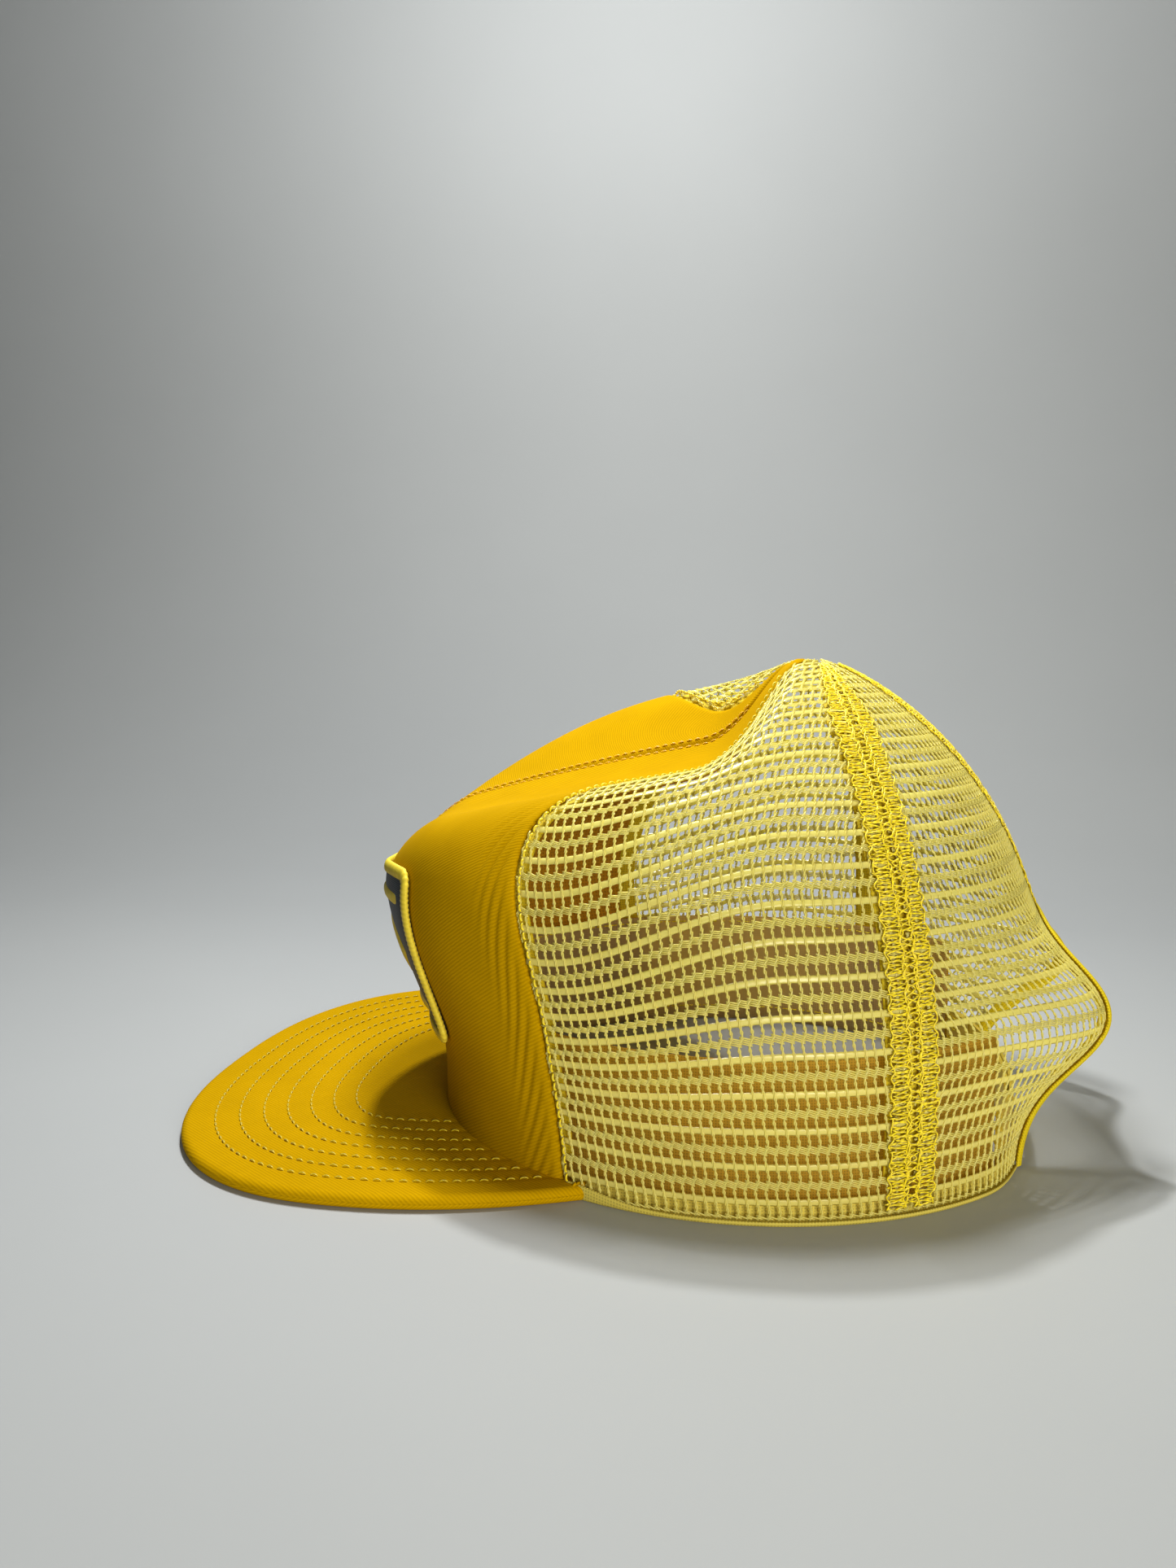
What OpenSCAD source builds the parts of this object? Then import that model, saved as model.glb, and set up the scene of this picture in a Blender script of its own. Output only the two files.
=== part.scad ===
// Mesh-back cap: cloth front, net sides and back, flat visor and plastic snap straps.
// Millimetres. +X is the wearer's left, -Y is the front, +Z is up.
// The origin is the centre of the head opening, on the plane that the hem rests on.

/* [Crown] */
// Length of the head opening, front to back
head_length = 179; // [150:1:220]
// Width of the head opening
head_width = 169; // [140:1:205]
// Height of the crown's point above the hem
crown_height = 136; // [112:1:166]
// How far the crown's point lies behind the middle of the opening
apex_back = 21; // [10:1:35]
// How far the front panels lean forward above the patch
front_lean = 22; // [10:1:30]
// How far the sides swell outwards at half height
side_bulge = 3.4; // [0:0.1:6]
// How far the net flares out beside the rear opening
rear_flare = 17; // [0:0.5:20]
// Depth of the dent in the top, below the crown's point
dent_depth = 39; // [30:1:47]
// How far the dent lies to the wearer's left
dent_side = 20; // [0:1:30]
// How far the dent turns the top of the front panels, in degrees
top_twist = 8; // [0:0.5:12]
// How far the dent draws in the top of the right front seam, in degrees
far_draw = 35; // [0:1:40]
// How far the closed straps draw in the hem at the back
strap_draw = 4.5; // [0:0.5:8]

/* [Panels] */
// Half angle that the two front panels cover at the hem
front_half = 63; // [52:1:75]
// Angle by which the front panels narrow towards the top
front_taper = 5; // [0:0.5:12]
// Angle from the front to the seam between side and back net
side_back_angle = 120; // [110:1:130]
// Thickness of the front cloth and of the net
cloth_t = 1; // [0.6:0.05:1.4]
// Thickness of the stiff lining behind the front cloth
lining_t = 1.6; // [0.8:0.1:2]
// Clearance between layers that lie on each other
layer_gap = 0.5; // [0.4:0.05:0.7]
// Gap between two panels along a seam
seam_gap = 0.8; // [0.4:0.1:1.4]
// Width of the doubled strip along each seam
seam_w = 5.5; // [4:0.5:8]
// Thickness of the seam tapes
tape_t = 0.8; // [0.4:0.1:1.2]
// Width of the seam tapes
tape_w = 12; // [8:0.5:14]
// Width of one row of seam thread
thread_w = 0.7; // [0.5:0.05:1]
// Height of a row of seam thread
thread_t = 0.45; // [0.3:0.05:0.8]
// Distance from a net seam to its rows of overlocked thread
overlock_side = 4.4; // [3:0.1:5]
// Width of a row of overlocked thread
overlock_w = 2.2; // [1:0.1:3]

/* [Net] */
// Gaps along each row of one net panel
net_columns = 6; // [4:1:6]
// Rows of gaps in one net panel
net_rows = 12; // [8:1:12]
// Share of a cell that each bar of the net takes on either side
net_bar = 0.19; // [0.1:0.01:0.3]

/* [Rear opening] */
// Half angle of the opening at the hem
arch_half = 27; // [20:0.5:32]
// Height of the opening
arch_height = 62; // [45:1:75]
// Width of the bound edge beyond the net
binding_w = 1.3; // [0.8:0.1:2.5]
// Thickness of the bound edge across the net
binding_t = 3.4; // [2.4:0.1:5]

/* [Visor] */
// Reach of the visor from the crown's front to its tip
visor_reach = 77; // [50:1:95]
// Greatest width of the visor
visor_width = 188; // [170:1:215]
// Length of the round front part, from the tip to the widest place
visor_round = 70.5; // [45:0.5:85]
// Half angle of the seam between visor and crown
visor_half = 67.5; // [58:0.5:74]
// Thickness of the whole visor
visor_t = 4; // [3:0.1:6]
// Thickness of each of its cloths
visor_cloth_t = 0.9; // [0.5:0.05:1.2]
// Rows of stitching on the visor
stitch_rows = 7; // [3:1:8]
// Distance between those rows
stitch_step = 7.5; // [4:0.5:8]

/* [Hem and sweatband] */
// Height of the hem tape
hem_h = 9; // [5:0.5:14]
// Thickness of the hem tape
hem_t = 0.8; // [0.5:0.1:1.2]
// Thickness of the fold under the net's edge
hem_fold = 1.2; // [0.8:0.1:2]
// Height of the sweatband
band_h = 40; // [28:1:46]
// Thickness of the sweatband
band_t = 1; // [0.6:0.1:1.8]

/* [Patch] */
// Width of the patch, measured round the front
patch_w = 106; // [70:1:120]
// Height of the patch
patch_h = 49; // [30:1:54]
// Height of the patch's lower edge above the hem
patch_z = 28; // [16:1:32]
// Thickness of the patch
patch_t = 1.2; // [0.6:0.1:2]
// Width of the overlocked border
border_w = 3.6; // [2:0.2:6]

/* [Snap straps] */
// Height of the straps
strap_h = 15; // [12:0.5:20]
// Thickness of the straps
strap_t = 1; // [0.8:0.05:1.4]
// Height of the straps' lower edge above the hem's resting plane
strap_z = 3; // [2:0.5:6]
// Radius of the curve that the closed straps follow
strap_radius = 170; // [140:5:240]
// Gap between the two straps where they overlap
strap_gap = 0.3; // [0.2:0.05:0.5]
// Radius of a snap peg
peg_r = 2; // [1.5:0.05:2.4]
// Clearance of a peg in its hole, on the radius
snap_clear = 0.4; // [0.3:0.05:0.6]
// Distance between snap positions
snap_pitch = 9; // [8:0.25:10.5]
// Gap at the flex line between a strap and its sewn end
flex_gap = 0.3; // [0.2:0.05:0.5]
// Distance from the bound edge to the flex line
flex_room = 4; // [2.5:0.25:6]
// Length of the sewn end inside the crown
tab_length = 17; // [10:0.5:20]

/* [Hidden] */
$fn = 64;

cloth_colour = "#F0B400";
net_colour = "#DCD36A";
thread_colour = "#F2D21E";
tape_colour = "#E3CF4A";
lining_colour = "#EDE6CF";
patch_colour = "#3B4654";
band_colour = "#D9B548";
plastic_colour = "#E8D060";

base_a = head_length / 2;
base_b = head_width / 2;
// Powers that shape the dome: its mean, its change from front to back, and from side to side
dome_mean = 4.4;
dome_front = 1.3;
dome_side = 1.1;
dome_edge = 1.3;
// Spacing of the rows up the crown: above 1 they lie closer towards the point
row_power = 1.6;
// The lean starts and ends at these shares of the height
lean_from = 0.1;
lean_over = 0.5;
bulge_over = 0.8;
flare_angle = 157;
flare_spread = 16;
flare_z = 41;
flare_tall = 17;
// The hem is drawn in from this angle on, and less and less up to this height
draw_from = 136;
draw_over = 20;
draw_tall = 41;
// The dent's floor: where it is measured, its rise to the back, and its curves to each side
dent_y = 42.5 - base_a;
dent_rise = 0.2;
dent_near = 0.003;
dent_far = 0.0075;
dent_far_gain = 0.00012;
dent_far_least = 0.0012;
dent_back_y = apex_back - 33;
dent_back = 0.04;
dent_lip_y = 4.5 - base_a;
dent_lip = 0.02;
dent_round = 12;

// Lattice of the crown's layers: shared rows, from the hem to just short of the point
rows = 16;
hem_room = 0.4;
base_z = hem_fold + hem_room;
row_top = 0.98;
tape_rows = 15;
lining_rows = 13;
edge_share_most = 0.12;
nudge = 0.002;

function square(v) = v * v;
function clamp(v, low, high) = max(low, min(high, v));
function degrees(arc, radius) = arc / radius * 180 / PI;
function smooth(v) = let(c = clamp(v, 0, 1)) c * c * (3 - 2 * c);
function bell(v, spread) = exp(-square(v / spread));
function soft_min(a, b, k) =
    let(h = clamp(0.5 + 0.5 * (b - a) / k, 0, 1))
    b * (1 - h) + a * h - k * h * (1 - h);

// How far the closed straps draw the hem forward at an angle
function drawn(phi) =
    strap_draw * smooth((180 - abs(180 - abs(phi)) - draw_from) / draw_over);

// Height of the dent's floor over a point of the plan
function dent(x, y) =
    let(
        u = x - dent_side,
        far = max(dent_far_least, dent_far + dent_far_gain * (y - dent_y)),
        sides = dent_near * square(max(0, u)) + far * square(max(0, -u)),
        back = dent_back * square(max(0, y - dent_back_y)),
        lip = dent_lip * square(max(0, dent_lip_y - y))
    )
    crown_height - dent_depth + dent_rise * (y - dent_y) + sides + back - lip;

// A point of the crown: phi turns from the front to the wearer's left, t climbs from hem to point
function crown(phi, t) =
    let(
        climb = 1 - pow(1 - t, row_power),
        power = dome_mean + dome_front * cos(phi) - dome_side * sin(phi),
        dome = pow(max(0, 1 - pow(climb, power)), 1 / dome_edge),
        facing = max(0, cos(phi)),
        lean = front_lean / (base_a + apex_back) * square(facing),
        leaned = 1 + lean * smooth((climb - lean_from) / lean_over),
        swell = side_bulge / base_b * sin(180 * min(1, climb / bulge_over)),
        reach = dome * leaned * (1 + swell * square(sin(phi))),
        x = base_b * sin(phi) * reach,
        y = apex_back - (base_a * cos(phi) + apex_back) * reach,
        z = crown_height * climb,
        turn = bell(phi - flare_angle, flare_spread) + bell(phi + flare_angle, flare_spread)
            + bell(phi - 360 + flare_angle, flare_spread),
        flared = y + rear_flare * bell(z - flare_z, flare_tall) * turn
            - drawn(phi) * (1 - smooth(z / draw_tall))
    )
    [x, flared, soft_min(z, dent(x, flared), dent_round)];

function crown_normal(phi, t) =
    let(
        low = max(0, t - nudge),
        high = min(1, t + nudge),
        across = crown(phi + 1, t) - crown(phi - 1, t),
        up = crown(phi, high) - crown(phi, low),
        n = cross(across, up)
    )
    n / norm(n);

// A point that lies a distance h outside the crown's surface
function skin(phi, t, h) = crown(phi, t) + h * crown_normal(phi, t);

function row_of_z(z) = 1 - pow(1 - z / crown_height, 1 / row_power);
function spoke(phi, t) = let(p = crown(phi, t)) norm([p.x, p.y - apex_back]);

// The lower edge of the crown is the hem, or the rear opening's arch
function arch_z(phi) =
    let(share = (180 - abs(phi)) / arch_half)
    arch_height * sqrt(max(0, 1 - share * share));
function row_low(phi) = row_of_z(max(base_z, arch_z(phi > 180 ? 360 - phi : phi)));
function row_t(phi, j) = let(low = row_low(phi)) low + (row_top - low) * j / rows;

// Angles of the seams at a height t
twist_from = 0.2;
twist_over = 0.35;
taper_over = 0.5;
far_from = 0.6;
far_over = 0.35;
function twist(t) = -top_twist * smooth((t - twist_from) / twist_over);
function front_seam(side, t) =
    side * (front_half - front_taper * smooth(t / taper_over)) + twist(t)
        + (side < 0 ? far_draw * smooth((t - far_from) / far_over) : 0);

// Share of a panel's width that one doubled seam strip takes at a height
function edge_share(from, to, t) =
    min(edge_share_most, degrees(seam_w, spoke((from + to) / 2, t)) / abs(to - from));

// Shares of a panel's width where its columns meet
function even_columns(count, edge) =
    concat([0], [for (i = [0 : count]) edge + (1 - 2 * edge) * i / count], [1]);
arch_steps = 4;
function back_columns(edge) =
    let(
        span = 180 - side_back_angle,
        plain = 1 - arch_half / span,
        inner = net_columns - arch_steps + 1
    )
    concat(
        [0],
        [for (i = [0 : inner]) edge + (plain - edge) * i / inner],
        [for (i = [1 : arch_steps - 1]) 1 - arch_half / span * cos(90 * i / arch_steps)],
        [1 - edge, 1]
    );

// Closed shell between two equal grids of points, with a gap in each cell that open() picks.
module shell(outer, inner, open = function(i, j) false) {
    nu = len(outer) - 1;
    nv = len(outer[0]) - 1;
    count = (nu + 1) * (nv + 1);
    cells = [for (i = [0 : nu - 1]) for (j = [0 : nv - 1]) [i, j]];
    gaps = [for (c = cells) if (open(c[0], c[1])) c];
    plain = [for (c = cells) if (!open(c[0], c[1])) c];
    function at(i, j) = i * (nv + 1) + j;
    function loop(i, j) = [at(i, j), at(i, j + 1), at(i + 1, j + 1), at(i + 1, j)];
    function mix(g, i, j, u, v) =
        (1 - u) * ((1 - v) * g[i][j] + v * g[i][j + 1])
        + u * ((1 - v) * g[i + 1][j] + v * g[i + 1][j + 1]);
    function hole(g, i, j) = [
        mix(g, i, j, net_bar, net_bar),
        mix(g, i, j, net_bar, 1 - net_bar),
        mix(g, i, j, 1 - net_bar, 1 - net_bar),
        mix(g, i, j, 1 - net_bar, net_bar),
    ];
    function both(a, b, c, d) = [[a, b, c], [a, c, d]];
    points = concat(
        [for (line = outer) each line],
        [for (line = inner) each line],
        [for (c = gaps) each hole(outer, c[0], c[1])],
        [for (c = gaps) each hole(inner, c[0], c[1])]
    );
    front = 2 * count;
    back = front + 4 * len(gaps);
    faces = concat(
        [for (c = plain) let(q = loop(c[0], c[1])) each both(q[0], q[1], q[2], q[3])],
        [for (c = plain)
            let(q = loop(c[0], c[1]))
            each both(q[0] + count, q[3] + count, q[2] + count, q[1] + count)],
        [for (k = [0 : 1 : len(gaps) - 1])
            let(q = loop(gaps[k][0], gaps[k][1]), f = front + 4 * k, b = back + 4 * k)
            for (s = [0 : 3])
            let(n = (s + 1) % 4)
            each concat(
                both(q[s], q[n], f + n, f + s),
                both(q[n] + count, q[s] + count, b + s, b + n),
                both(f + s, f + n, b + n, b + s)
            )],
        [for (i = [0 : nu - 1]) each both(at(i, 0), at(i + 1, 0), at(i + 1, 0) + count, at(i, 0) + count)],
        [for (i = [0 : nu - 1])
            each both(at(i + 1, nv), at(i, nv), at(i, nv) + count, at(i + 1, nv) + count)],
        [for (j = [0 : nv - 1]) each both(at(0, j + 1), at(0, j), at(0, j) + count, at(0, j + 1) + count)],
        [for (j = [0 : nv - 1]) each both(at(nu, j), at(nu, j + 1), at(nu, j + 1) + count, at(nu, j) + count)]
    );
    polyhedron(points, faces, convexity = 10);
}

// A crown panel between two seams, given by functions of the height, from offset h0 to h1
module panel(from, to, shares, h0, h1, inset, low, high, open = function(i, j) false) {
    function line(i, j, h) =
        let(
            guess = from(0) + (to(0) - from(0)) * shares(0)[i],
            t = row_t(guess, j),
            room = degrees(inset, spoke((from(t) + to(t)) / 2, t)),
            a = from(t) + room,
            b = to(t) - room
        )
        skin(a + (b - a) * shares(t)[i], t, h);
    columns = len(shares(0)) - 1;
    function grid(h) = [for (i = [0 : columns]) [for (j = [low : high]) line(i, j, h)]];
    shell(grid(h1), grid(h0), open);
}

// A strip along a seam, shifted sideways by a distance. All strips narrow alike near the point.
strip_share = 0.4;
module seam_strip(seam, width, h0, h1, low, high, shift = 0) {
    columns = width > seam_w ? 4 : 1;
    function line(i, j, h) =
        let(
            t = row_t(seam(0), j),
            arm = spoke(seam(t), t),
            narrow = min(1, strip_share * arm / tape_w),
            s = narrow * (shift + width * (i / columns - 0.5))
        )
        skin(seam(t) + degrees(s, arm), t, h);
    function grid(h) = [for (i = [0 : columns]) [for (j = [low : high]) line(i, j, h)]];
    shell(grid(h1), grid(h0));
}

front_columns = 8;
module front_panel(side) {
    from = function(t) side > 0 ? twist(t) : front_seam(-1, t);
    to = function(t) side > 0 ? front_seam(1, t) : twist(t);
    shares = function(t) even_columns(front_columns, edge_share(from(t), to(t), t));
    color(cloth_colour) panel(from, to, shares, 0, cloth_t, seam_gap / 2, 0, rows);
}

lining_room = 3.5;
lining_inset = tape_w / 2 + lining_room;
lining_columns = 6;
module front_lining(side) {
    from = function(t) side > 0 ? twist(t) : front_seam(-1, t);
    to = function(t) side > 0 ? front_seam(1, t) : twist(t);
    shares = function(t) [for (i = [0 : lining_columns]) i / lining_columns];
    color(lining_colour)
        panel(from, to, shares, -layer_gap - lining_t, -layer_gap, lining_inset, 0, lining_rows);
}

module mesh_side(side) {
    from = function(t) side > 0 ? front_seam(1, t) : -side_back_angle;
    to = function(t) side > 0 ? side_back_angle : front_seam(-1, t);
    shares = function(t) even_columns(net_columns, edge_share(from(t), to(t), t));
    open = function(i, j) i > 0 && i <= net_columns && j < net_rows;
    color(net_colour) panel(from, to, shares, 0, cloth_t, seam_gap / 2, 0, rows, open);
}

module mesh_back(side) {
    shares = function(t) back_columns(edge_share(side_back_angle, 180, t));
    corner = net_columns - arch_steps + 2;
    last = net_columns + 1;
    open = function(i, j) i > 0 && i < last && i != corner && j < net_rows;
    back = side > 0 ? function(t) side_back_angle : function(t) -180;
    end = side > 0 ? function(t) 180 : function(t) -side_back_angle;
    turned = side > 0 ? shares : function(t) let(s = shares(t)) [for (i = [len(s) - 1 : -1 : 0]) 1 - s[i]];
    width = len(shares(0)) - 2;
    opens = side > 0 ? open : function(i, j) open(width - i, j);
    color(net_colour) panel(back, end, turned, 0, cloth_t, seam_gap / 2, 0, rows, opens);
}

tape_h = -layer_gap - tape_t;
module tape(seam, low = 1, width = tape_w, room = 0) {
    color(tape_colour) seam_strip(seam, width, tape_h - room, -layer_gap - room, low, tape_rows);
}
front_tape_w = 0.6 * tape_w;
// The right front tape hangs this much lower, clear of the net where it bends over the dent's ridge
ridge_room = 0.4;

// Rows of thread beside a seam, at each of the shifts
stitch_side = 2.1;
stitch_room = 0.8;
stitch_low = cloth_t + stitch_room;
module stitch_rows_on(seam, shifts, width, low = 0) {
    color(thread_colour)
        for (s = shifts)
            seam_strip(seam, width, stitch_low, stitch_low + thread_t, low, tape_rows, s);
}

// Patch on the front panels, following the leaned surface
patch_h0 = cloth_t + layer_gap;
patch_columns = 12;
patch_rows = 10;
patch_spread = 0.8;
function patch_angle(s, z) =
    let(lean = front_lean * smooth((z / crown_height - lean_from) / lean_over))
    degrees(s, base_a * (1 + patch_spread * lean / (base_a + apex_back)));
module on_patch(s0, s1, z0, z1, h0, h1, columns, lines) {
    function line(i, j, h) =
        let(
            z = z0(i / columns) + (z1(i / columns) - z0(i / columns)) * j / lines,
            s = s0 + (s1 - s0) * i / columns
        )
        skin(patch_angle(s, z), row_of_z(z), h);
    function grid(h) = [for (i = [0 : columns]) [for (j = [0 : lines]) line(i, j, h)]];
    shell(grid(h1), grid(h0));
}
function level(z) = function(u) z;

module patch_base() {
    low = patch_z + border_w;
    high = patch_z + patch_h - border_w;
    side = patch_w / 2 - border_w;
    color(patch_colour)
        on_patch(-side, side, level(low), level(high),
            patch_h0, patch_h0 + patch_t, patch_columns, patch_rows);
}

border_gap = 0.2;
module patch_border() {
    top = patch_z + patch_h;
    side = border_w - border_gap;
    h1 = patch_h0 + patch_t + thread_t;
    color(thread_colour) {
        for (z = [patch_z, top - border_w + border_gap])
            on_patch(-patch_w / 2, patch_w / 2, level(z), level(z + side),
                patch_h0, h1, patch_columns, 1);
        for (s = [-patch_w / 2, patch_w / 2 - side])
            on_patch(s, s + side, level(patch_z + border_w), level(top - border_w),
                patch_h0, h1, 1, patch_rows);
    }
}

// Plain stitched motif: three lozenges between two bars
motif_bar = 2.6;
motif_bar_inset = 8;
lozenge_count = 3;
lozenge_step = 29;
lozenge_half = 11;
lozenge_tall = 9;
motif_gap = 0.45;
module patch_motif() {
    h0 = patch_h0 + patch_t + motif_gap;
    h1 = h0 + thread_t;
    reach = patch_w / 2 - motif_bar_inset;
    middle = patch_z + patch_h / 2;
    color(thread_colour) {
        for (z = [patch_z + motif_bar_inset, patch_z + patch_h - motif_bar_inset - motif_bar])
            on_patch(-reach, reach, level(z), level(z + motif_bar), h0, h1, patch_columns, 1);
        for (k = [0 : lozenge_count - 1]) {
            at = (k - (lozenge_count - 1) / 2) * lozenge_step;
            rise = function(u) thread_w / 2 + lozenge_tall * (1 - abs(2 * u - 1));
            on_patch(at - lozenge_half, at + lozenge_half, function(u) middle - rise(u),
                function(u) middle + rise(u), h0, h1, 4, 4);
        }
    }
}

// Bead of binding tape along the rear opening's edge
binding_gap = 0.35;
binding_segments = 2 * arch_steps;
module arch_binding() {
    centre = cloth_t / 2;
    corners = [
        [binding_gap, centre - binding_t / 2],
        [binding_gap + binding_w, centre - binding_t / 2],
        [binding_gap + binding_w, centre + binding_t / 2],
        [binding_gap, centre + binding_t / 2],
    ];
    function place(k, c) =
        let(
            turn = 180 * k / binding_segments,
            half = arch_half - degrees(c[0], base_a),
            z = max(base_z, (arch_height - c[0]) * sin(turn))
        )
        skin(180 - half * cos(turn), row_of_z(z), c[1]);
    points = [for (k = [0 : binding_segments]) for (c = corners) place(k, c)];
    last = 4 * binding_segments;
    faces = concat(
        [for (k = [0 : binding_segments - 1]) for (s = [0 : 3])
            let(a = 4 * k, n = (s + 1) % 4)
            each [[a + s, a + 4 + n, a + n], [a + s, a + 4 + s, a + 4 + n]]],
        [[0, 1, 2], [0, 2, 3], [last, last + 2, last + 1], [last, last + 3, last + 2]]
    );
    color(thread_colour) polyhedron(points, faces, convexity = 4);
}

// A point of the hem's outline, moved outwards by a distance
function rim(phi, off) =
    let(n = [sin(phi) / base_b, -cos(phi) / base_a])
    [base_b * sin(phi), -base_a * cos(phi) - drawn(phi)] + off * n / norm(n);
rim_step = 3;
function rim_line(from, to, off) =
    let(count = ceil(abs(to - from) / rim_step))
    [for (i = [0 : count]) rim(from + (to - from) * i / count, off)];
module rim_wall(from, to, off0, off1, z0, z1) {
    translate([0, 0, z0])
        linear_extrude(z1 - z0)
            polygon(concat(rim_line(from, to, off1), rim_line(to, from, off0)));
}

// Hem tape: a strip inside the net's edge and a fold under it
hem_lip = 0.3;
hem_out = cloth_t + hem_lip;
hem_in = 0.7;
arch_corner = 180 - arch_half;
hem_from = front_half + 1;
module hem_tape(side) {
    ends = side > 0 ? [hem_from, arch_corner] : [-arch_corner, -hem_from];
    color(tape_colour) {
        rim_wall(ends[0], ends[1], -hem_in - hem_t, hem_out, 0, hem_fold);
        rim_wall(ends[0], ends[1], -hem_in - hem_t, -hem_in, hem_fold, hem_h);
    }
}

// Sweatband inside the lining, from one end of the straps to the other
band_room = 0.8;
band_out = layer_gap + lining_t + band_room;
band_z = 0.5;
band_past = 2;
band_end = arch_corner - degrees(tab_length, base_a) + band_past;
band_stitch_z = 5;
module sweatband() {
    color(band_colour) rim_wall(-band_end, band_end, -band_out - band_t, -band_out, band_z, band_h);
}
module sweatband_stitching() {
    inside = -band_out - band_t;
    color(thread_colour)
        rim_wall(-band_end, band_end, inside - thread_t, inside, band_stitch_z, band_stitch_z + thread_w);
}

// Visor outline, moved inwards by a distance, and cut back to the crown
visor_gap = 0.7;
visor_half_w = visor_width / 2;
visor_tip_y = -base_a - visor_reach;
visor_wide_y = visor_tip_y + visor_round;
visor_end = rim(visor_half, cloth_t + visor_gap);
visor_power = 2.4;
visor_points = 24;
visor_past = 1.15;
taper_points = 8;
function visor_side(d) = [
    for (i = [0 : visor_points])
        let(a = 90 * i / visor_points)
        [
            (visor_half_w - d) * pow(sin(a), 2 / visor_power),
            visor_wide_y - (visor_round - d) * pow(cos(a), 2 / visor_power)
        ],
    for (i = [1 : taper_points])
        let(v = visor_past * i / taper_points)
        [
            visor_half_w - d - (visor_half_w - visor_end.x) * v * v,
            visor_wide_y + (visor_end.y - visor_wide_y) * v
        ]
];
module visor_outline(d) {
    side = visor_side(d);
    other = [for (i = [len(side) - 1 : -1 : 1]) [-side[i].x, side[i].y]];
    polygon(concat(side, other));
}
module visor_blank(d) {
    difference() {
        visor_outline(d);
        polygon(rim_line(-180, 180 - rim_step, cloth_t + visor_gap + d));
    }
}
module plate(z0, z1, d) {
    translate([0, 0, z0]) linear_extrude(z1 - z0) visor_blank(d);
}

visor_slack = 0.1;
board_inset = visor_cloth_t + 2 * visor_slack;
visor_mid = visor_t / 2;
module visor_board() {
    color("#F2F0E8") plate(visor_cloth_t + visor_slack, visor_t - visor_cloth_t - visor_slack, board_inset);
}
module visor_top_cloth() {
    color(cloth_colour)
        difference() {
            plate(visor_mid + visor_slack / 2, visor_t, 0);
            plate(visor_mid - 1, visor_t - visor_cloth_t, visor_cloth_t);
        }
}
module visor_under_cloth() {
    color(cloth_colour)
        difference() {
            plate(0, visor_mid - visor_slack / 2, 0);
            plate(visor_cloth_t, visor_mid + 1, visor_cloth_t);
        }
}
stitch_first = 6;
module visor_stitching() {
    color(thread_colour)
        translate([0, 0, visor_t])
            linear_extrude(thread_t)
                for (k = [0 : stitch_rows - 1])
                    difference() {
                        visor_outline(stitch_first + k * stitch_step);
                        visor_outline(stitch_first + k * stitch_step + thread_w);
                        polygon(rim_line(-180, 180 - rim_step, cloth_t + visor_gap + thread_w));
                    }
}

// Snap straps: the holed one hinges on the wearer's left and lies outside the pegged one
tab_room = 0.3;
tab_out = hem_in + hem_t + tab_room;
flex_angle = arch_corner + degrees(binding_gap + binding_w + flex_room, base_a);
holes_flex = rim(flex_angle, -tab_out - strap_t / 2);
strap_centre_y = holes_flex.y - sqrt(square(strap_radius) - square(holes_flex.x));
pegs_radius = strap_radius - strap_t - strap_gap;
pegs_flex = [
    -holes_flex.x,
    strap_centre_y + sqrt(square(pegs_radius) - square(holes_flex.x))
];
snap_angle = degrees(snap_pitch, strap_radius);
snap_each_way = 2;
tip_beyond = 4.5;
tip_r = 0.54 * strap_h;
flex_r = 0.6 * strap_t;
flex_inset = 0.4;
echo(holes_flex = holes_flex, pegs_flex = pegs_flex);
echo(strap_centre_y = strap_centre_y, snap_angle = snap_angle);

// One strap, hinged on the +X side: a band, its rounded flex edge and its round tip
module strap_band(radius, flex_x) {
    start = 90 - asin(flex_x / radius);
    tip = 90 + snap_each_way * snap_angle + degrees(tip_beyond, radius);
    translate([0, strap_centre_y, 0])
        difference() {
            rotate([0, 0, start])
                rotate_extrude(angle = tip - start)
                    translate([radius - strap_t / 2, strap_z])
                        square([strap_t, strap_h]);
            at_snap(tip - degrees(tip_r, radius))
                translate([0, 0, radius - 2 * strap_t])
                    linear_extrude(4 * strap_t)
                        difference() {
                            translate([-strap_h, 0]) square([2 * strap_h, strap_h]);
                            circle(r = tip_r);
                        }
        }
    translate([flex_x, strap_centre_y + sqrt(square(radius) - square(flex_x)), strap_z + flex_inset])
        cylinder(h = strap_h - 2 * flex_inset, r = flex_r);
}
// Places a radial axis at a polar angle, half way up the straps
module at_snap(angle) {
    translate([0, 0, strap_z + strap_h / 2]) rotate([0, 0, angle]) rotate([0, 90, 0]) children();
}
module snap_strap_holes() {
    color(plastic_colour)
        difference() {
            strap_band(strap_radius, holes_flex.x);
            for (k = [-snap_each_way - 1 : snap_each_way])
                translate([0, strap_centre_y, 0])
                    at_snap(90 + k * snap_angle)
                        translate([0, 0, strap_radius - 2 * strap_t])
                            cylinder(h = 4 * strap_t, r = peg_r + snap_clear);
        }
}
peg_proud = 0.6;
peg_root = 0.3;
module snap_strap_pegs() {
    peg_h = peg_root + strap_gap + strap_t + peg_proud;
    color(plastic_colour) {
        mirror([1, 0, 0]) strap_band(pegs_radius, holes_flex.x);
        for (k = [-snap_each_way : snap_each_way + 1])
            translate([0, strap_centre_y, 0])
                at_snap(90 + k * snap_angle)
                    translate([0, 0, pegs_radius + strap_t / 2 - peg_root])
                        cylinder(h = peg_h, r = peg_r);
    }
}

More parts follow.
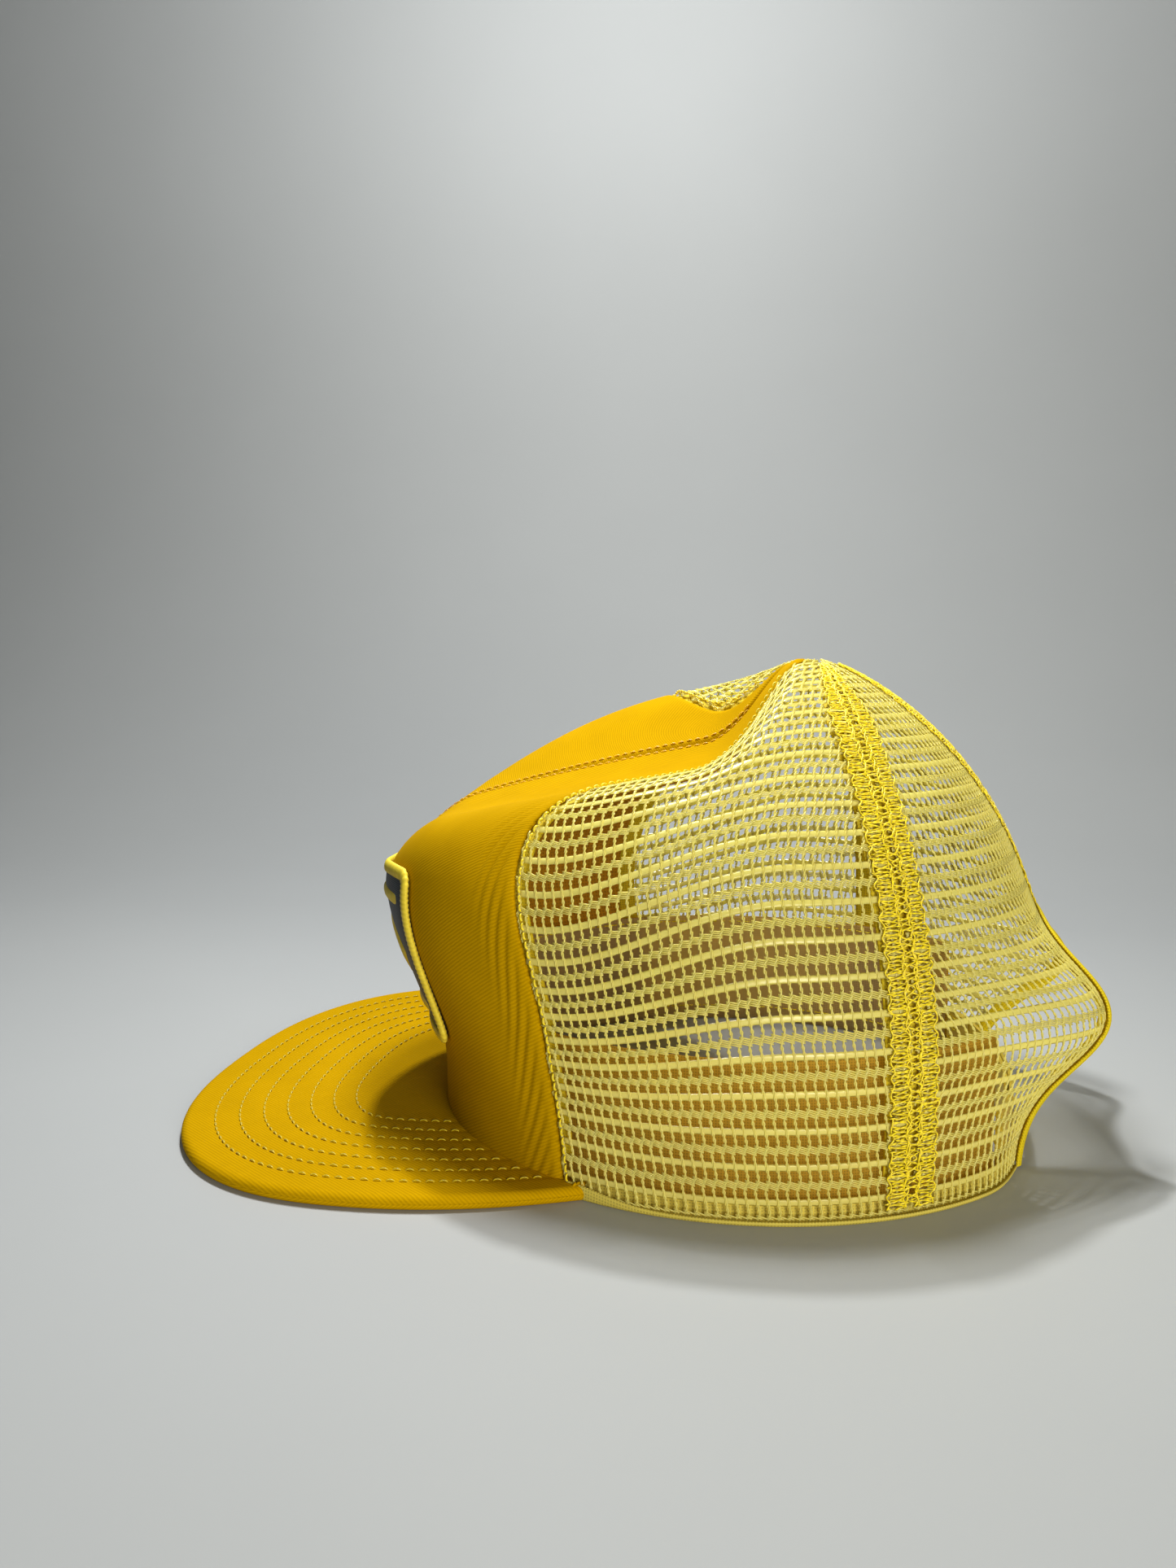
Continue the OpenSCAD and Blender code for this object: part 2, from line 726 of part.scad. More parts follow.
// Sewn end of a strap, between the hem tape and the head
band_overlap = 5;
tab_from = arch_corner - degrees(tab_length - band_overlap, base_a);
function tab_to(flex) =
    let(
        step = (rim(flex_angle + 1, -tab_out) - rim(flex_angle - 1, -tab_out)) / 2,
        past = ([abs(flex.x), flex.y] - rim(flex_angle, -tab_out)) * step / norm(step)
    )
    flex_angle + (past - flex_r - flex_gap) / norm(step);
tab_in_left = tab_out + strap_t;
tab_in_right = tab_in_left + strap_t + strap_gap;
module strap_end(side) {
    inside = side > 0 ? tab_in_left : tab_in_right;
    far = tab_to(side > 0 ? holes_flex : pegs_flex);
    ends = side > 0 ? [tab_from, far] : [-far, -tab_from];
    color(plastic_colour) rim_wall(ends[0], ends[1], -inside, -tab_out, strap_z, strap_z + strap_h);
}
tack_rows = 4;
tack_length = 8;
tack_gap = 0.05;
module strap_stitches(side) {
    inside = side > 0 ? tab_in_left : tab_in_right;
    far = tab_from + degrees(tack_length, base_a);
    ends = side > 0 ? [tab_from, far] : [-far, -tab_from];
    color(thread_colour)
        for (k = [0.5 : tack_rows]) {
            z = strap_z + strap_h * k / tack_rows;
            rim_wall(ends[0], ends[1], -inside - tack_gap - thread_t, -inside - tack_gap, z, z + thread_w);
        }
}

side_back = function(side) function(t) side * side_back_angle;
front_side = function(side) function(t) front_seam(side, t);
centre_front = function(t) twist(t);
centre_back = function(t) 180;
patch_room = 4;
above_patch = ceil(
    rows * (row_of_z(patch_z + patch_h + patch_room) - row_low(0)) / (row_top - row_low(0))
);
twin = [-stitch_side, stitch_side];
overlock = [-overlock_side, overlock_side];

front_panel(1);  // front_panel_left
front_panel(-1);  // front_panel_right
front_lining(1);  // front_lining_left
front_lining(-1);  // front_lining_right
mesh_side(1);  // mesh_side_left
mesh_side(-1);  // mesh_side_right
mesh_back(1);  // mesh_back_left
mesh_back(-1);  // mesh_back_right
tape(centre_front, 0);  // tape_centre_front
tape(front_side(1), width = front_tape_w);  // tape_front_side_left
tape(front_side(-1), width = front_tape_w, room = ridge_room);  // tape_front_side_right
tape(side_back(1));  // tape_side_back_left
tape(side_back(-1));  // tape_side_back_right
tape(centre_back);  // tape_centre_back
stitch_rows_on(centre_front, twin, thread_w, above_patch);  // stitch_centre_front
stitch_rows_on(front_side(1), [stitch_side], thread_w, 1);  // stitch_front_side_left
stitch_rows_on(front_side(-1), [-stitch_side], thread_w, 1);  // stitch_front_side_right
stitch_rows_on(side_back(1), overlock, overlock_w);  // stitch_side_back_left
stitch_rows_on(side_back(-1), overlock, overlock_w);  // stitch_side_back_right
stitch_rows_on(centre_back, overlock, overlock_w, 1);  // stitch_centre_back
patch_base();
patch_border();
patch_motif();
visor_board();
visor_top_cloth();
visor_under_cloth();
visor_stitching();
hem_tape(1);  // hem_tape_left
hem_tape(-1);  // hem_tape_right
sweatband();
sweatband_stitching();
arch_binding();
strap_end(1);  // strap_end_left
strap_end(-1);  // strap_end_right
strap_stitches(1);  // strap_stitches_left
strap_stitches(-1);  // strap_stitches_right
snap_strap_holes();
snap_strap_pegs();
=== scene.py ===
"""Mesh-back cap: golden twill front with a patch, lemon net sides and back, flat stitched visor, snap straps.

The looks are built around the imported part, in its own frame: +X is the wearer's left, -Y the front, +Z up.
Shapes are worked out in millimetres and degrees, as in the part's source, and stored in metres.
"""
import math

import bmesh
import bpy
import numpy as np
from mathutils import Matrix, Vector


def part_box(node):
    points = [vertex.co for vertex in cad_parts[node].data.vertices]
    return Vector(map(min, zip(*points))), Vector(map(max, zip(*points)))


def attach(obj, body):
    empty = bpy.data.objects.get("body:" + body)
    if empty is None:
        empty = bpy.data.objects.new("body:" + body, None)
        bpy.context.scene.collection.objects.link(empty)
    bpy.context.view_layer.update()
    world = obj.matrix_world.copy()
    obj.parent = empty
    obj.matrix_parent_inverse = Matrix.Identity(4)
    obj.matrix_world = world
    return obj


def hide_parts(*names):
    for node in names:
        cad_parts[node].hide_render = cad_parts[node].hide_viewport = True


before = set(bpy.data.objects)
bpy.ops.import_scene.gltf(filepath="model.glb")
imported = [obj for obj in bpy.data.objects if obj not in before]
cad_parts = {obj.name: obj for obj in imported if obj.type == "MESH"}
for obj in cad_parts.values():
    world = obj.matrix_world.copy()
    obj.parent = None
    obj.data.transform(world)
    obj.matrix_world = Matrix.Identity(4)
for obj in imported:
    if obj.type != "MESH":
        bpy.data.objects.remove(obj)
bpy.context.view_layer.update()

bl_info = {
    "name": "Mesh-back cap",
    "version": (1, 0, 0),
    "blender": (4, 5, 0),
    "location": "3D View > Sidebar > Cap",
    "description": "Builds a net-backed cap around its packed parts",
    "category": "Object",
}

MM = 0.001


def linear(hex_colour):
    """Linear red, green and blue of an sRGB hex colour."""
    parts = [int(hex_colour[i : i + 2], 16) / 255 for i in (1, 3, 5)]
    return tuple(c / 12.92 if c <= 0.04045 else ((c + 0.055) / 1.055) ** 2.4 for c in parts)


def length(name, description, value):
    """A length property, given in millimetres and kept in metres."""
    return bpy.props.FloatProperty(
        name=name, description=description, default=value * MM, min=0.0, unit="LENGTH", subtype="DISTANCE"
    )


def angle(name, description, value):
    """An angle property, given in degrees."""
    return bpy.props.FloatProperty(
        name=name, description=description, default=math.radians(value), unit="ROTATION", subtype="ANGLE"
    )


def colour(name, description, value):
    """A colour property, given as an sRGB hex value."""
    return bpy.props.FloatVectorProperty(
        name=name, description=description, default=linear(value), size=3, min=0.0, max=1.0, subtype="COLOR"
    )


class CapSizes(bpy.types.PropertyGroup):
    """Sizes of the cap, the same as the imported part's."""

    head_length: length("Head length", "Length of the head opening", 179)
    head_width: length("Head width", "Width of the head opening", 169)
    crown_height: length("Crown height", "Height of the crown's point above the hem", 136)
    apex_back: length("Point set back", "How far the point lies behind the middle of the opening", 21)
    front_lean: length("Front lean", "How far the front leans forward above the patch", 22)
    side_bulge: length("Side bulge", "How far the sides swell at half height", 3.4)
    rear_flare: length("Rear flare", "How far the net flares out beside the rear opening", 17)
    dent_depth: length("Dent depth", "Depth of the dent in the top", 39)
    dent_side: length("Dent side", "How far the dent lies to the wearer's left", 20)
    top_twist: angle("Top twist", "How far the dent turns the top of the front", 8)
    far_draw: angle("Seam draw", "How far the dent draws in the top of the right front seam", 35)
    strap_draw: length("Strap draw", "How far the closed straps draw in the hem at the back", 4.5)
    front_half: angle("Front half angle", "Half angle of the two front panels at the hem", 63)
    front_taper: angle("Front taper", "Angle by which the front narrows towards the top", 5)
    side_back: angle("Side seam", "Angle from the front to the seam between side and back net", 120)
    arch_half: angle("Arch half angle", "Half angle of the rear opening at the hem", 27)
    arch_height: length("Arch height", "Height of the rear opening", 62)
    visor_reach: length("Visor reach", "From the crown's front to the visor's tip", 77)
    visor_width: length("Visor width", "Greatest width of the visor", 188)
    visor_round: length("Visor round", "From the tip to the widest place", 70.5)
    visor_thick: length("Visor thickness", "Thickness of the whole visor", 4)
    patch_width: length("Patch width", "Width of the patch round the front", 106)
    patch_height: length("Patch height", "Height of the patch", 49)
    patch_low: length("Patch foot", "Height of the patch's lower edge", 28)
    band_height: length("Sweatband height", "Height of the sweatband", 40)
    tape_width: length("Tape width", "Width of the tapes behind the net's seams", 12)


class CapNet(bpy.types.PropertyGroup):
    """Spacing and yarn of the net."""

    pillar_pitch: length("Pillar pitch", "Distance between the knitted pillars", 2.5)
    band_repeat: length("Band repeat", "Distance between two flat bands", 9.1)
    band_width: length("Band width", "Width of a flat band", 1.8)
    yarn: length("Yarn", "Radius of a pillar's yarn", 0.23)


class CapColours(bpy.types.PropertyGroup):
    """Colours of the finishes."""

    cloth: colour("Cloth", "Golden twill of the front and the visor", "#C29600")
    net: colour("Net", "Lemon nylon net", "#FFF592")
    thread: colour("Thread", "Bright sewing thread", "#FFE200")
    tape: colour("Tape", "Woven tape behind the seams", "#F2D81E")
    hem: colour("Hem", "Pale tape round the hem", "#F0DE62")
    lining: colour("Lining", "Stiff lining behind the front", "#DB9C08")
    patch: colour("Patch", "Slate ground of the patch", "#1B2733")
    embroidery: colour("Embroidery", "Yellow embroidery thread", "#E9D23C")
    band_outside: colour("Sweatband outside", "Side towards the crown", "#F0CB50")
    band_inside: colour("Sweatband inside", "Side towards the head", "#F4E2A6")
    plastic: colour("Plastic", "Snap straps", "#EBCF3A")
    paper: colour("Paper", "Floor and backdrop", "#A6A9A9")


def mm(name):
    """A size of the cap, in millimetres."""
    return getattr(bpy.context.scene.cap_sizes, name) / MM


def degrees_of(name):
    """An angle of the cap, in degrees."""
    return math.degrees(getattr(bpy.context.scene.cap_sizes, name))


# Shape of the crown, as in the part's source
DOME_MEAN, DOME_FRONT, DOME_SIDE, DOME_EDGE = 4.4, 1.3, 1.1, 1.3
ROW_POWER = 1.6
LEAN_FROM, LEAN_OVER, BULGE_OVER = 0.1, 0.5, 0.8
FLARE_ANGLE, FLARE_SPREAD, FLARE_Z, FLARE_TALL = 157, 16, 41, 17
DRAW_FROM, DRAW_OVER, DRAW_TALL = 136, 20, 41
DENT_FRONT, DENT_RISE, DENT_NEAR, DENT_ROUND = 42.5, 0.2, 0.003, 12
DENT_FAR, DENT_FAR_GAIN, DENT_FAR_LEAST = 0.0075, 0.00012, 0.0012
DENT_BACK_FROM, DENT_BACK, DENT_LIP_FROM, DENT_LIP = 33, 0.04, 4.5, 0.02
TWIST_FROM, TWIST_OVER, TAPER_OVER = 0.2, 0.35, 0.5
FAR_FROM, FAR_OVER = 0.6, 0.35
BASE_Z, ROW_TOP, NUDGE = 1.6, 0.98, 0.002


def sind(a):
    return np.sin(np.radians(a))


def cosd(a):
    return np.cos(np.radians(a))


def smooth(v):
    c = np.clip(v, 0, 1)
    return c * c * (3 - 2 * c)


def bell(v, spread):
    return np.exp(-np.square(v / spread))


def unit(v):
    return v / np.maximum(np.linalg.norm(v, axis=-1, keepdims=True), 1e-12)


def drawn(phi):
    """How far the closed straps draw the hem forward at an angle."""
    turn = 180 - np.abs(180 - np.abs(phi))
    return mm("strap_draw") * smooth((turn - DRAW_FROM) / DRAW_OVER)


def dent(x, y):
    """Height of the dent's floor over a point of the plan."""
    u = x - mm("dent_side")
    front = y + mm("head_length") / 2
    far = np.maximum(DENT_FAR_LEAST, DENT_FAR + DENT_FAR_GAIN * (front - DENT_FRONT))
    sides = DENT_NEAR * np.maximum(0, u) ** 2 + far * np.maximum(0, -u) ** 2
    back = DENT_BACK * np.maximum(0, y - mm("apex_back") + DENT_BACK_FROM) ** 2
    lip = DENT_LIP * np.maximum(0, DENT_LIP_FROM - front) ** 2
    return mm("crown_height") - mm("dent_depth") + DENT_RISE * (front - DENT_FRONT) + sides + back - lip


def crown(phi, t):
    """Points of the crown: phi turns from the front to the wearer's left, t climbs from hem to point."""
    phi, t = np.broadcast_arrays(np.asarray(phi, float), np.asarray(t, float))
    half_long, half_wide, back = mm("head_length") / 2, mm("head_width") / 2, mm("apex_back")
    climb = 1 - (1 - np.clip(t, 0, 1)) ** ROW_POWER
    power = DOME_MEAN + DOME_FRONT * cosd(phi) - DOME_SIDE * sind(phi)
    dome = np.maximum(0, 1 - climb**power) ** (1 / DOME_EDGE)
    lean = mm("front_lean") / (half_long + back) * np.maximum(0, cosd(phi)) ** 2
    leaned = 1 + lean * smooth((climb - LEAN_FROM) / LEAN_OVER)
    swell = mm("side_bulge") / half_wide * sind(180 * np.minimum(1, climb / BULGE_OVER))
    reach = dome * leaned * (1 + swell * sind(phi) ** 2)
    x = half_wide * sind(phi) * reach
    y = back - (half_long * cosd(phi) + back) * reach
    z = mm("crown_height") * climb
    turn = sum(bell(phi - a, FLARE_SPREAD) for a in (FLARE_ANGLE, -FLARE_ANGLE, 360 - FLARE_ANGLE))
    y = y + mm("rear_flare") * bell(z - FLARE_Z, FLARE_TALL) * turn - drawn(phi) * (1 - smooth(z / DRAW_TALL))
    floor = dent(x, y)
    h = np.clip(0.5 + 0.5 * (floor - z) / DENT_ROUND, 0, 1)
    z = floor * (1 - h) + z * h - DENT_ROUND * h * (1 - h)
    return np.stack([x, y, z], axis=-1)


def crown_normal(phi, t):
    across = crown(phi + 1, t) - crown(phi - 1, t)
    up = crown(phi, np.minimum(1, t + NUDGE)) - crown(phi, np.maximum(0, t - NUDGE))
    return unit(np.cross(across, up))


def skin(phi, t, h):
    """Points that lie h outside the crown's surface."""
    phi, t, h = np.broadcast_arrays(*(np.asarray(v, float) for v in (phi, t, h)))
    return crown(phi, t) + h[..., None] * crown_normal(phi, t)


def row_of_z(z):
    return 1 - (1 - z / mm("crown_height")) ** (1 / ROW_POWER)


def spoke(phi, t):
    """Distance of the crown's surface from the upright line through its point."""
    p = crown(phi, t)
    return np.maximum(np.hypot(p[..., 0], p[..., 1] - mm("apex_back")), 1.0)


def turned(arc, radius):
    """Angle of an arc, in degrees."""
    return np.degrees(arc / radius)


def arch_z(phi):
    share = (180 - np.abs(phi)) / degrees_of("arch_half")
    return mm("arch_height") * np.sqrt(np.maximum(0, 1 - share**2))


def row_low(phi):
    """Row of the net's lower edge: the hem, or the rear opening's arch."""
    phi = np.where(phi > 180, 360 - phi, phi)
    return row_of_z(np.maximum(BASE_Z, arch_z(phi)))


def centre_front(t):
    return -degrees_of("top_twist") * smooth((t - TWIST_FROM) / TWIST_OVER)


def front_side(side):
    def seam(t):
        half = degrees_of("front_half") - degrees_of("front_taper") * smooth(t / TAPER_OVER)
        far = degrees_of("far_draw") * smooth((t - FAR_FROM) / FAR_OVER) if side < 0 else 0
        return side * half + centre_front(t) + far

    return seam


def side_back(side):
    return lambda t: np.full_like(np.asarray(t, float), side * degrees_of("side_back"))


def centre_back(side):
    return lambda t: np.full_like(np.asarray(t, float), side * 180.0)


def rim(phi, off):
    """Points of the hem's outline, moved outwards by a distance, in plan."""
    half_long, half_wide = mm("head_length") / 2, mm("head_width") / 2
    out = unit(np.stack([sind(phi) / half_wide, -cosd(phi) / half_long], axis=-1))
    line = np.stack([half_wide * sind(phi), -half_long * cosd(phi) - drawn(phi)], axis=-1)
    return line + np.asarray(off, float)[..., None] * out


def travel(points, axis):
    """Distance covered along one axis of a grid of points, from its start."""
    steps = np.linalg.norm(np.diff(points, axis=axis), axis=-1)
    start = np.zeros_like(np.take(steps, [0], axis=axis))
    return np.concatenate([start, np.cumsum(steps, axis=axis)], axis=axis)


def cloth_uv(points):
    """The cloth's own measure in millimetres: across from the middle column, and up from the lower edge."""
    across, up = travel(points, 1), travel(points, 0)
    middle = points.shape[1] // 2
    return np.stack([across - across[:, [middle]], up], axis=-1)


# Corners of a tube closer than this, in metres, are joined
JOINED = 1e-7


def grid_mesh(points, uv, drop=None):
    """A mesh from one grid, its corners moved to the points, (rows, columns, 3) in millimetres.

    drop marks the faces to leave out of a grid of tubes, which are then closed and their ends filled.
    """
    rows, columns = points.shape[:2]
    shape = bmesh.new()
    bmesh.ops.create_grid(shape, x_segments=columns - 1, y_segments=rows - 1, size=0.5)
    mesh = bpy.data.meshes.new("grid")
    shape.to_mesh(mesh)
    shape.free()
    mesh.vertices.foreach_set("co", (points * MM).astype(np.float32).ravel())
    corner = np.zeros(len(mesh.loops), np.int32)
    mesh.loops.foreach_get("vertex_index", corner)
    layer = mesh.uv_layers.new(name="UVMap")
    layer.uv.foreach_set("vector", uv.reshape(-1, 2)[corner].astype(np.float32).ravel())
    if drop is None:
        return mesh
    shape = bmesh.new()
    shape.from_mesh(mesh)
    shape.faces.ensure_lookup_table()
    out = [shape.faces[i] for i in np.flatnonzero(drop.ravel())]
    bmesh.ops.delete(shape, geom=out, context="FACES")
    bmesh.ops.remove_doubles(shape, verts=shape.verts[:], dist=JOINED)
    rim_edges = [e for e in shape.edges if e.is_boundary]
    bmesh.ops.holes_fill(shape, edges=rim_edges, sides=0)
    shape.to_mesh(mesh)
    shape.free()
    return mesh


def tube_mesh(centres, normals, wide, thick, sides, keep=None):
    """Tubes along many lines at once, (lines, stations, 3): a grid whose columns wrap round each line.

    wide is half the width along the surface, thick half the height off it, and keep marks what to show.
    """
    lines, stations = centres.shape[:2]
    along = unit(np.gradient(centres, axis=1))
    across = unit(np.cross(normals, along))
    out = np.cross(along, across)
    wide, thick = (np.broadcast_to(v, (lines, stations)) for v in (wide, thick))
    turn = 2 * np.pi * np.arange(sides + 1) / sides
    ring = (
        centres[:, :, None]
        + (wide[..., None] * np.cos(turn))[..., None] * across[:, :, None]
        + (thick[..., None] * np.sin(turn))[..., None] * out[:, :, None]
    )
    points = ring.transpose(1, 0, 2, 3).reshape(stations, lines * (sides + 1), 3)
    run = travel(centres, 1).T
    round_it = np.broadcast_to(turn / turn[-1], (stations, lines, sides + 1))
    uv = np.stack([np.repeat(run, sides + 1, axis=1), round_it.reshape(stations, -1)], axis=-1)
    between = np.arange(points.shape[1] - 1) % (sides + 1) == sides
    drop = np.broadcast_to(between, (stations - 1, points.shape[1] - 1)).copy()
    if keep is not None:
        hidden = ~(keep[:, :-1] & keep[:, 1:])
        drop |= np.repeat(hidden.T, sides + 1, axis=1)[:, : drop.shape[1]]
    return grid_mesh(points, uv, drop)


def at_height(plan, z):
    """Points of a plan at a height or heights."""
    return np.concatenate([plan, np.broadcast_to(z, plan.shape[:-1])[..., None]], axis=-1)


def piece(name, meshes, material, thickness=0.0, offset=0.0, inside=None):
    """Joins meshes into one piece of the crown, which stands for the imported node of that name."""
    whole = bmesh.new()
    for mesh in meshes:
        whole.from_mesh(mesh)
        bpy.data.meshes.remove(mesh)
    label = f"{name}_visual"
    made = bpy.data.meshes.new(label)
    whole.to_mesh(made)
    whole.free()
    made.polygons.foreach_set("use_smooth", np.ones(len(made.polygons), bool))
    made.materials.append(material)
    obj = bpy.data.objects.new(label, made)
    bpy.context.scene.collection.objects.link(obj)
    if thickness:
        solid = obj.modifiers.new("Cloth thickness", "SOLIDIFY")
        solid.thickness = thickness * MM
        solid.offset = offset
        if inside:
            made.materials.append(inside)
            solid.material_offset = 1
    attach(obj, "crown")
    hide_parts(name)
    return obj


# The least width that cut_size gives a sheet, in metres
LEAST_FLAT = 0.01


def cut_size(points):
    """Width, length and area that a grid of cloth was cut to, in metres."""
    across, up = travel(points, 1), travel(points, 0)
    a = points[1:, :-1] - points[:-1, :-1]
    b = points[:-1, 1:] - points[:-1, :-1]
    area = np.linalg.norm(np.cross(a, b), axis=-1).sum()
    wide, long = across[:, -1].max(), up[-1].max()
    size = (max(round(wide * MM, 4), LEAST_FLAT), round(long * MM, 4))
    return size, round(float(area) * MM * MM, 6)


def sheet(
    name, points, material, thickness, uv=None, offset=0.0, inside=None
):
    """A piece of cloth from one grid.
    """
    uv = cloth_uv(points) if uv is None else uv
    cloth = piece(name, [grid_mesh(points, uv)], material, thickness, offset, inside)


def along_line(points, normals, run):
    """Points and normals at distances along a line."""
    at = travel(points[None], 1)[0]

    def pick(values):
        return np.stack([np.interp(run, at, values[:, k]) for k in range(3)], axis=-1)

    return pick(points), unit(pick(normals))


# One stitch: places along it, its roundness there, and how far it rises, in radii
STITCH_AT = np.array([0.0, 0.1, 0.3, 0.5, 0.7, 0.9, 1.0])
STITCH_ROUND = np.array([0.3, 0.8, 1.0, 1.0, 1.0, 0.8, 0.3])
STITCH_RISE = np.array([-1.4, 0.0, 0.8, 1.0, 0.8, 0.0, -1.4])
STITCH_FLAT = 0.8


def stitch_mesh(points, normals, pitch, gap, radius):
    """Single stitches along a line, each a short thread that dives into the cloth at both ends."""
    total = travel(points[None], 1)[0, -1]
    count = max(1, int(total / pitch))
    run = (np.arange(count)[:, None] + 0.5 * gap / pitch + STITCH_AT * (1 - gap / pitch)) * total / count
    centre, out = along_line(points, normals, run)
    centre = centre + (radius * STITCH_RISE)[None, :, None] * out
    return tube_mesh(centre, out, radius * STITCH_ROUND, radius * STITCH_FLAT * STITCH_ROUND, sides=5)


def add_node(tree, kind, inputs, settings=None, output=0):
    """Adds one node and returns an output of it.

    inputs are values or sockets to link from, and settings are the node's own properties.
    """
    node = tree.nodes.new(kind)
    for key, value in (settings or {}).items():
        setattr(node, key, value)
    for key, value in inputs.items():
        if isinstance(value, bpy.types.NodeSocket):
            tree.links.new(value, node.inputs[key])
        else:
            node.inputs[key].default_value = value
    return node.outputs[output]


def new_material(name, coordinates):
    """An empty node material: itself, its tree, its Principled surface and a set of coordinates."""
    material = bpy.data.materials.new(name)
    material.use_nodes = True
    tree = material.node_tree
    place = add_node(tree, "ShaderNodeTexCoord", {}, output=coordinates)
    return material, tree, tree.nodes["Principled BSDF"], place


def shade(colour_value, factor):
    """A colour made darker or lighter."""
    return tuple(min(1.0, c * factor) for c in colour_value) + (1.0,)


def dress(tree, surface, base, tone, shades, finish, ridges=None, groove_shade=1.0, height=None, bump=(0.0, 0.0)):
    """Colours a surface and raises its pattern, and returns the colour's socket.

    The colour runs between two shades of its base by the tone, and is darkened between ridges down to hollow:
    painted shade in the grooves.
    bump holds the strength of the raised pattern and its height in millimetres.
    """
    ends = {"Color1": shade(base, shades[0]), "Color2": shade(base, shades[1])}
    look = add_node(tree, "ShaderNodeMixRGB", {"Fac": tone, **ends})
    if ridges is not None:
        # Painted shade: darkens the colour between the ridges, down to hollow at the bottom of each groove
        depth = add_node(tree, "ShaderNodeMapRange", {"Value": ridges, "To Min": groove_shade, "To Max": 1.0})
        both = {"Fac": 1.0, "Color1": look, "Color2": depth}
        look = add_node(tree, "ShaderNodeMixRGB", both, {"blend_type": "MULTIPLY"})
    tree.links.new(look, surface.inputs["Base Color"])
    if height is not None:
        relief = {"Height": height, "Strength": bump[0], "Distance": bump[1] * MM}
        tree.links.new(add_node(tree, "ShaderNodeBump", relief), surface.inputs["Normal"])
    for key, value in finish.items():
        surface.inputs[key].default_value = value
    return look


def let_through(tree, surface, share, tint):
    """Lets a share of the light through a thin surface, in a colour of its own."""
    glow = add_node(tree, "ShaderNodeBsdfTranslucent", {"Color": tint})
    both = add_node(tree, "ShaderNodeMixShader", {0: share, 1: surface.outputs[0], 2: glow})
    tree.links.new(both, tree.nodes["Material Output"].inputs["Surface"])


# A Wave texture's bands repeat every 0.314 / scale
WAVE_PERIOD = math.pi / 10
# Length of one turn of a thread's plies, in millimetres
TWIST = 0.9


def cotton_twill(name, base, rib=0.8, lean=63.0):
    """Cotton twill, woven with steep slanting ribs: matte, slightly fuzzy, with painted shade between the
    ribs.
    """
    material, tree, surface, uv = new_material(name, "UV")
    # Real ribs are about 0.4 mm apart; they are drawn at twice that so that they show in the render
    slant = add_node(tree, "ShaderNodeMapping", {"Vector": uv, "Rotation": (0, 0, math.radians(lean))})
    weave = {"Scale": WAVE_PERIOD / rib, "Distortion": 1.2, "Detail": 2.0, "Detail Scale": 1.5}
    ribs = add_node(tree, "ShaderNodeTexWave", {"Vector": slant, **weave}, output="Fac")
    wear = {"Scale": 0.06, "Detail": 5.0, "Roughness": 0.65}
    mottle = add_node(tree, "ShaderNodeTexNoise", {"Vector": uv, **wear})
    fuzz = add_node(tree, "ShaderNodeTexNoise", {"Vector": uv, "Scale": 3.0, "Detail": 2.0})
    height = add_node(tree, "ShaderNodeMath", {0: fuzz, 1: 0.5, 2: ribs}, {"operation": "MULTIPLY_ADD"})
    finish = {"Roughness": 0.9, "Specular IOR Level": 0.02}
    # Painted shade: the ribs darken the colour to 0.8 in the valleys between them
    dress(tree, surface, base, mottle, (0.84, 1.1), finish, ribs, 0.8, height, (0.35, 0.12))
    return material


def nylon_net(name, base):
    """Knitted nylon yarn: smooth, a little glossy, and it lets light through."""
    material, tree, surface, here = new_material(name, "Object")
    tone = add_node(tree, "ShaderNodeTexNoise", {"Vector": here, "Scale": 60.0, "Detail": 3.0})
    fine = add_node(tree, "ShaderNodeTexNoise", {"Vector": here, "Scale": 1600.0, "Detail": 1.0})
    finish = {"Roughness": 0.28, "IOR": 1.53, "Specular IOR Level": 0.8}
    dress(tree, surface, base, tone, (0.86, 1.08), finish, height=fine, bump=(0.4, 0.1))
    # Light that comes through the yarn is a deeper yellow than what its surface throws back
    let_through(tree, surface, 0.5, (base[0], base[1] * 0.99, base[2] * 0.8, 1.0))
    return material


def sewing_thread(name, base):
    """Twisted filament thread: a silky sheen with fine slanting plies, and painted shade in the grooves
    between them.
    """
    material, tree, surface, uv = new_material(name, "UV")
    slant = add_node(tree, "ShaderNodeMapping", {"Vector": uv, "Scale": (1.0, TWIST, 1.0)})
    lay = {"Vector": slant, "Scale": WAVE_PERIOD / TWIST, "Distortion": 0.4}
    plies = add_node(tree, "ShaderNodeTexWave", lay, {"bands_direction": "DIAGONAL"}, "Fac")
    finish = {"Roughness": 0.4, "Sheen Weight": 0.15}
    # Painted shade: the ply wave darkens the colour to 0.7 in the grooves between the plies
    dress(tree, surface, base, plies, (0.7, 1.05), finish, height=plies, bump=(0.5, 0.1))
    return material


def woven_tape(name, base, thread=0.9, through=0.3):
    """Plain woven tape: fine crossing threads, matte, with painted shade between the threads and some light
    coming through.
    """
    material, tree, surface, uv = new_material(name, "UV")
    # Real threads are about 0.4 mm; they are drawn two to three times as wide, to show in the render
    weave = {"Vector": uv, "Scale": WAVE_PERIOD / thread, "Distortion": 0.5}
    warp, weft = (add_node(tree, "ShaderNodeTexWave", weave, {"bands_direction": way}, "Fac") for way in "XY")
    cross = add_node(tree, "ShaderNodeMath", {0: warp, 1: weft}, {"operation": "MAXIMUM"})
    mottle = add_node(tree, "ShaderNodeTexNoise", {"Vector": uv, "Scale": 0.15, "Detail": 4.0})
    finish = {"Roughness": 0.8}
    # Painted shade: the colour is darkened to 0.65 between the crossing threads
    look = dress(tree, surface, base, mottle, (0.85, 1.08), finish, cross, 0.65, cross, (0.5, 0.15))
    let_through(tree, surface, through, look)
    return material


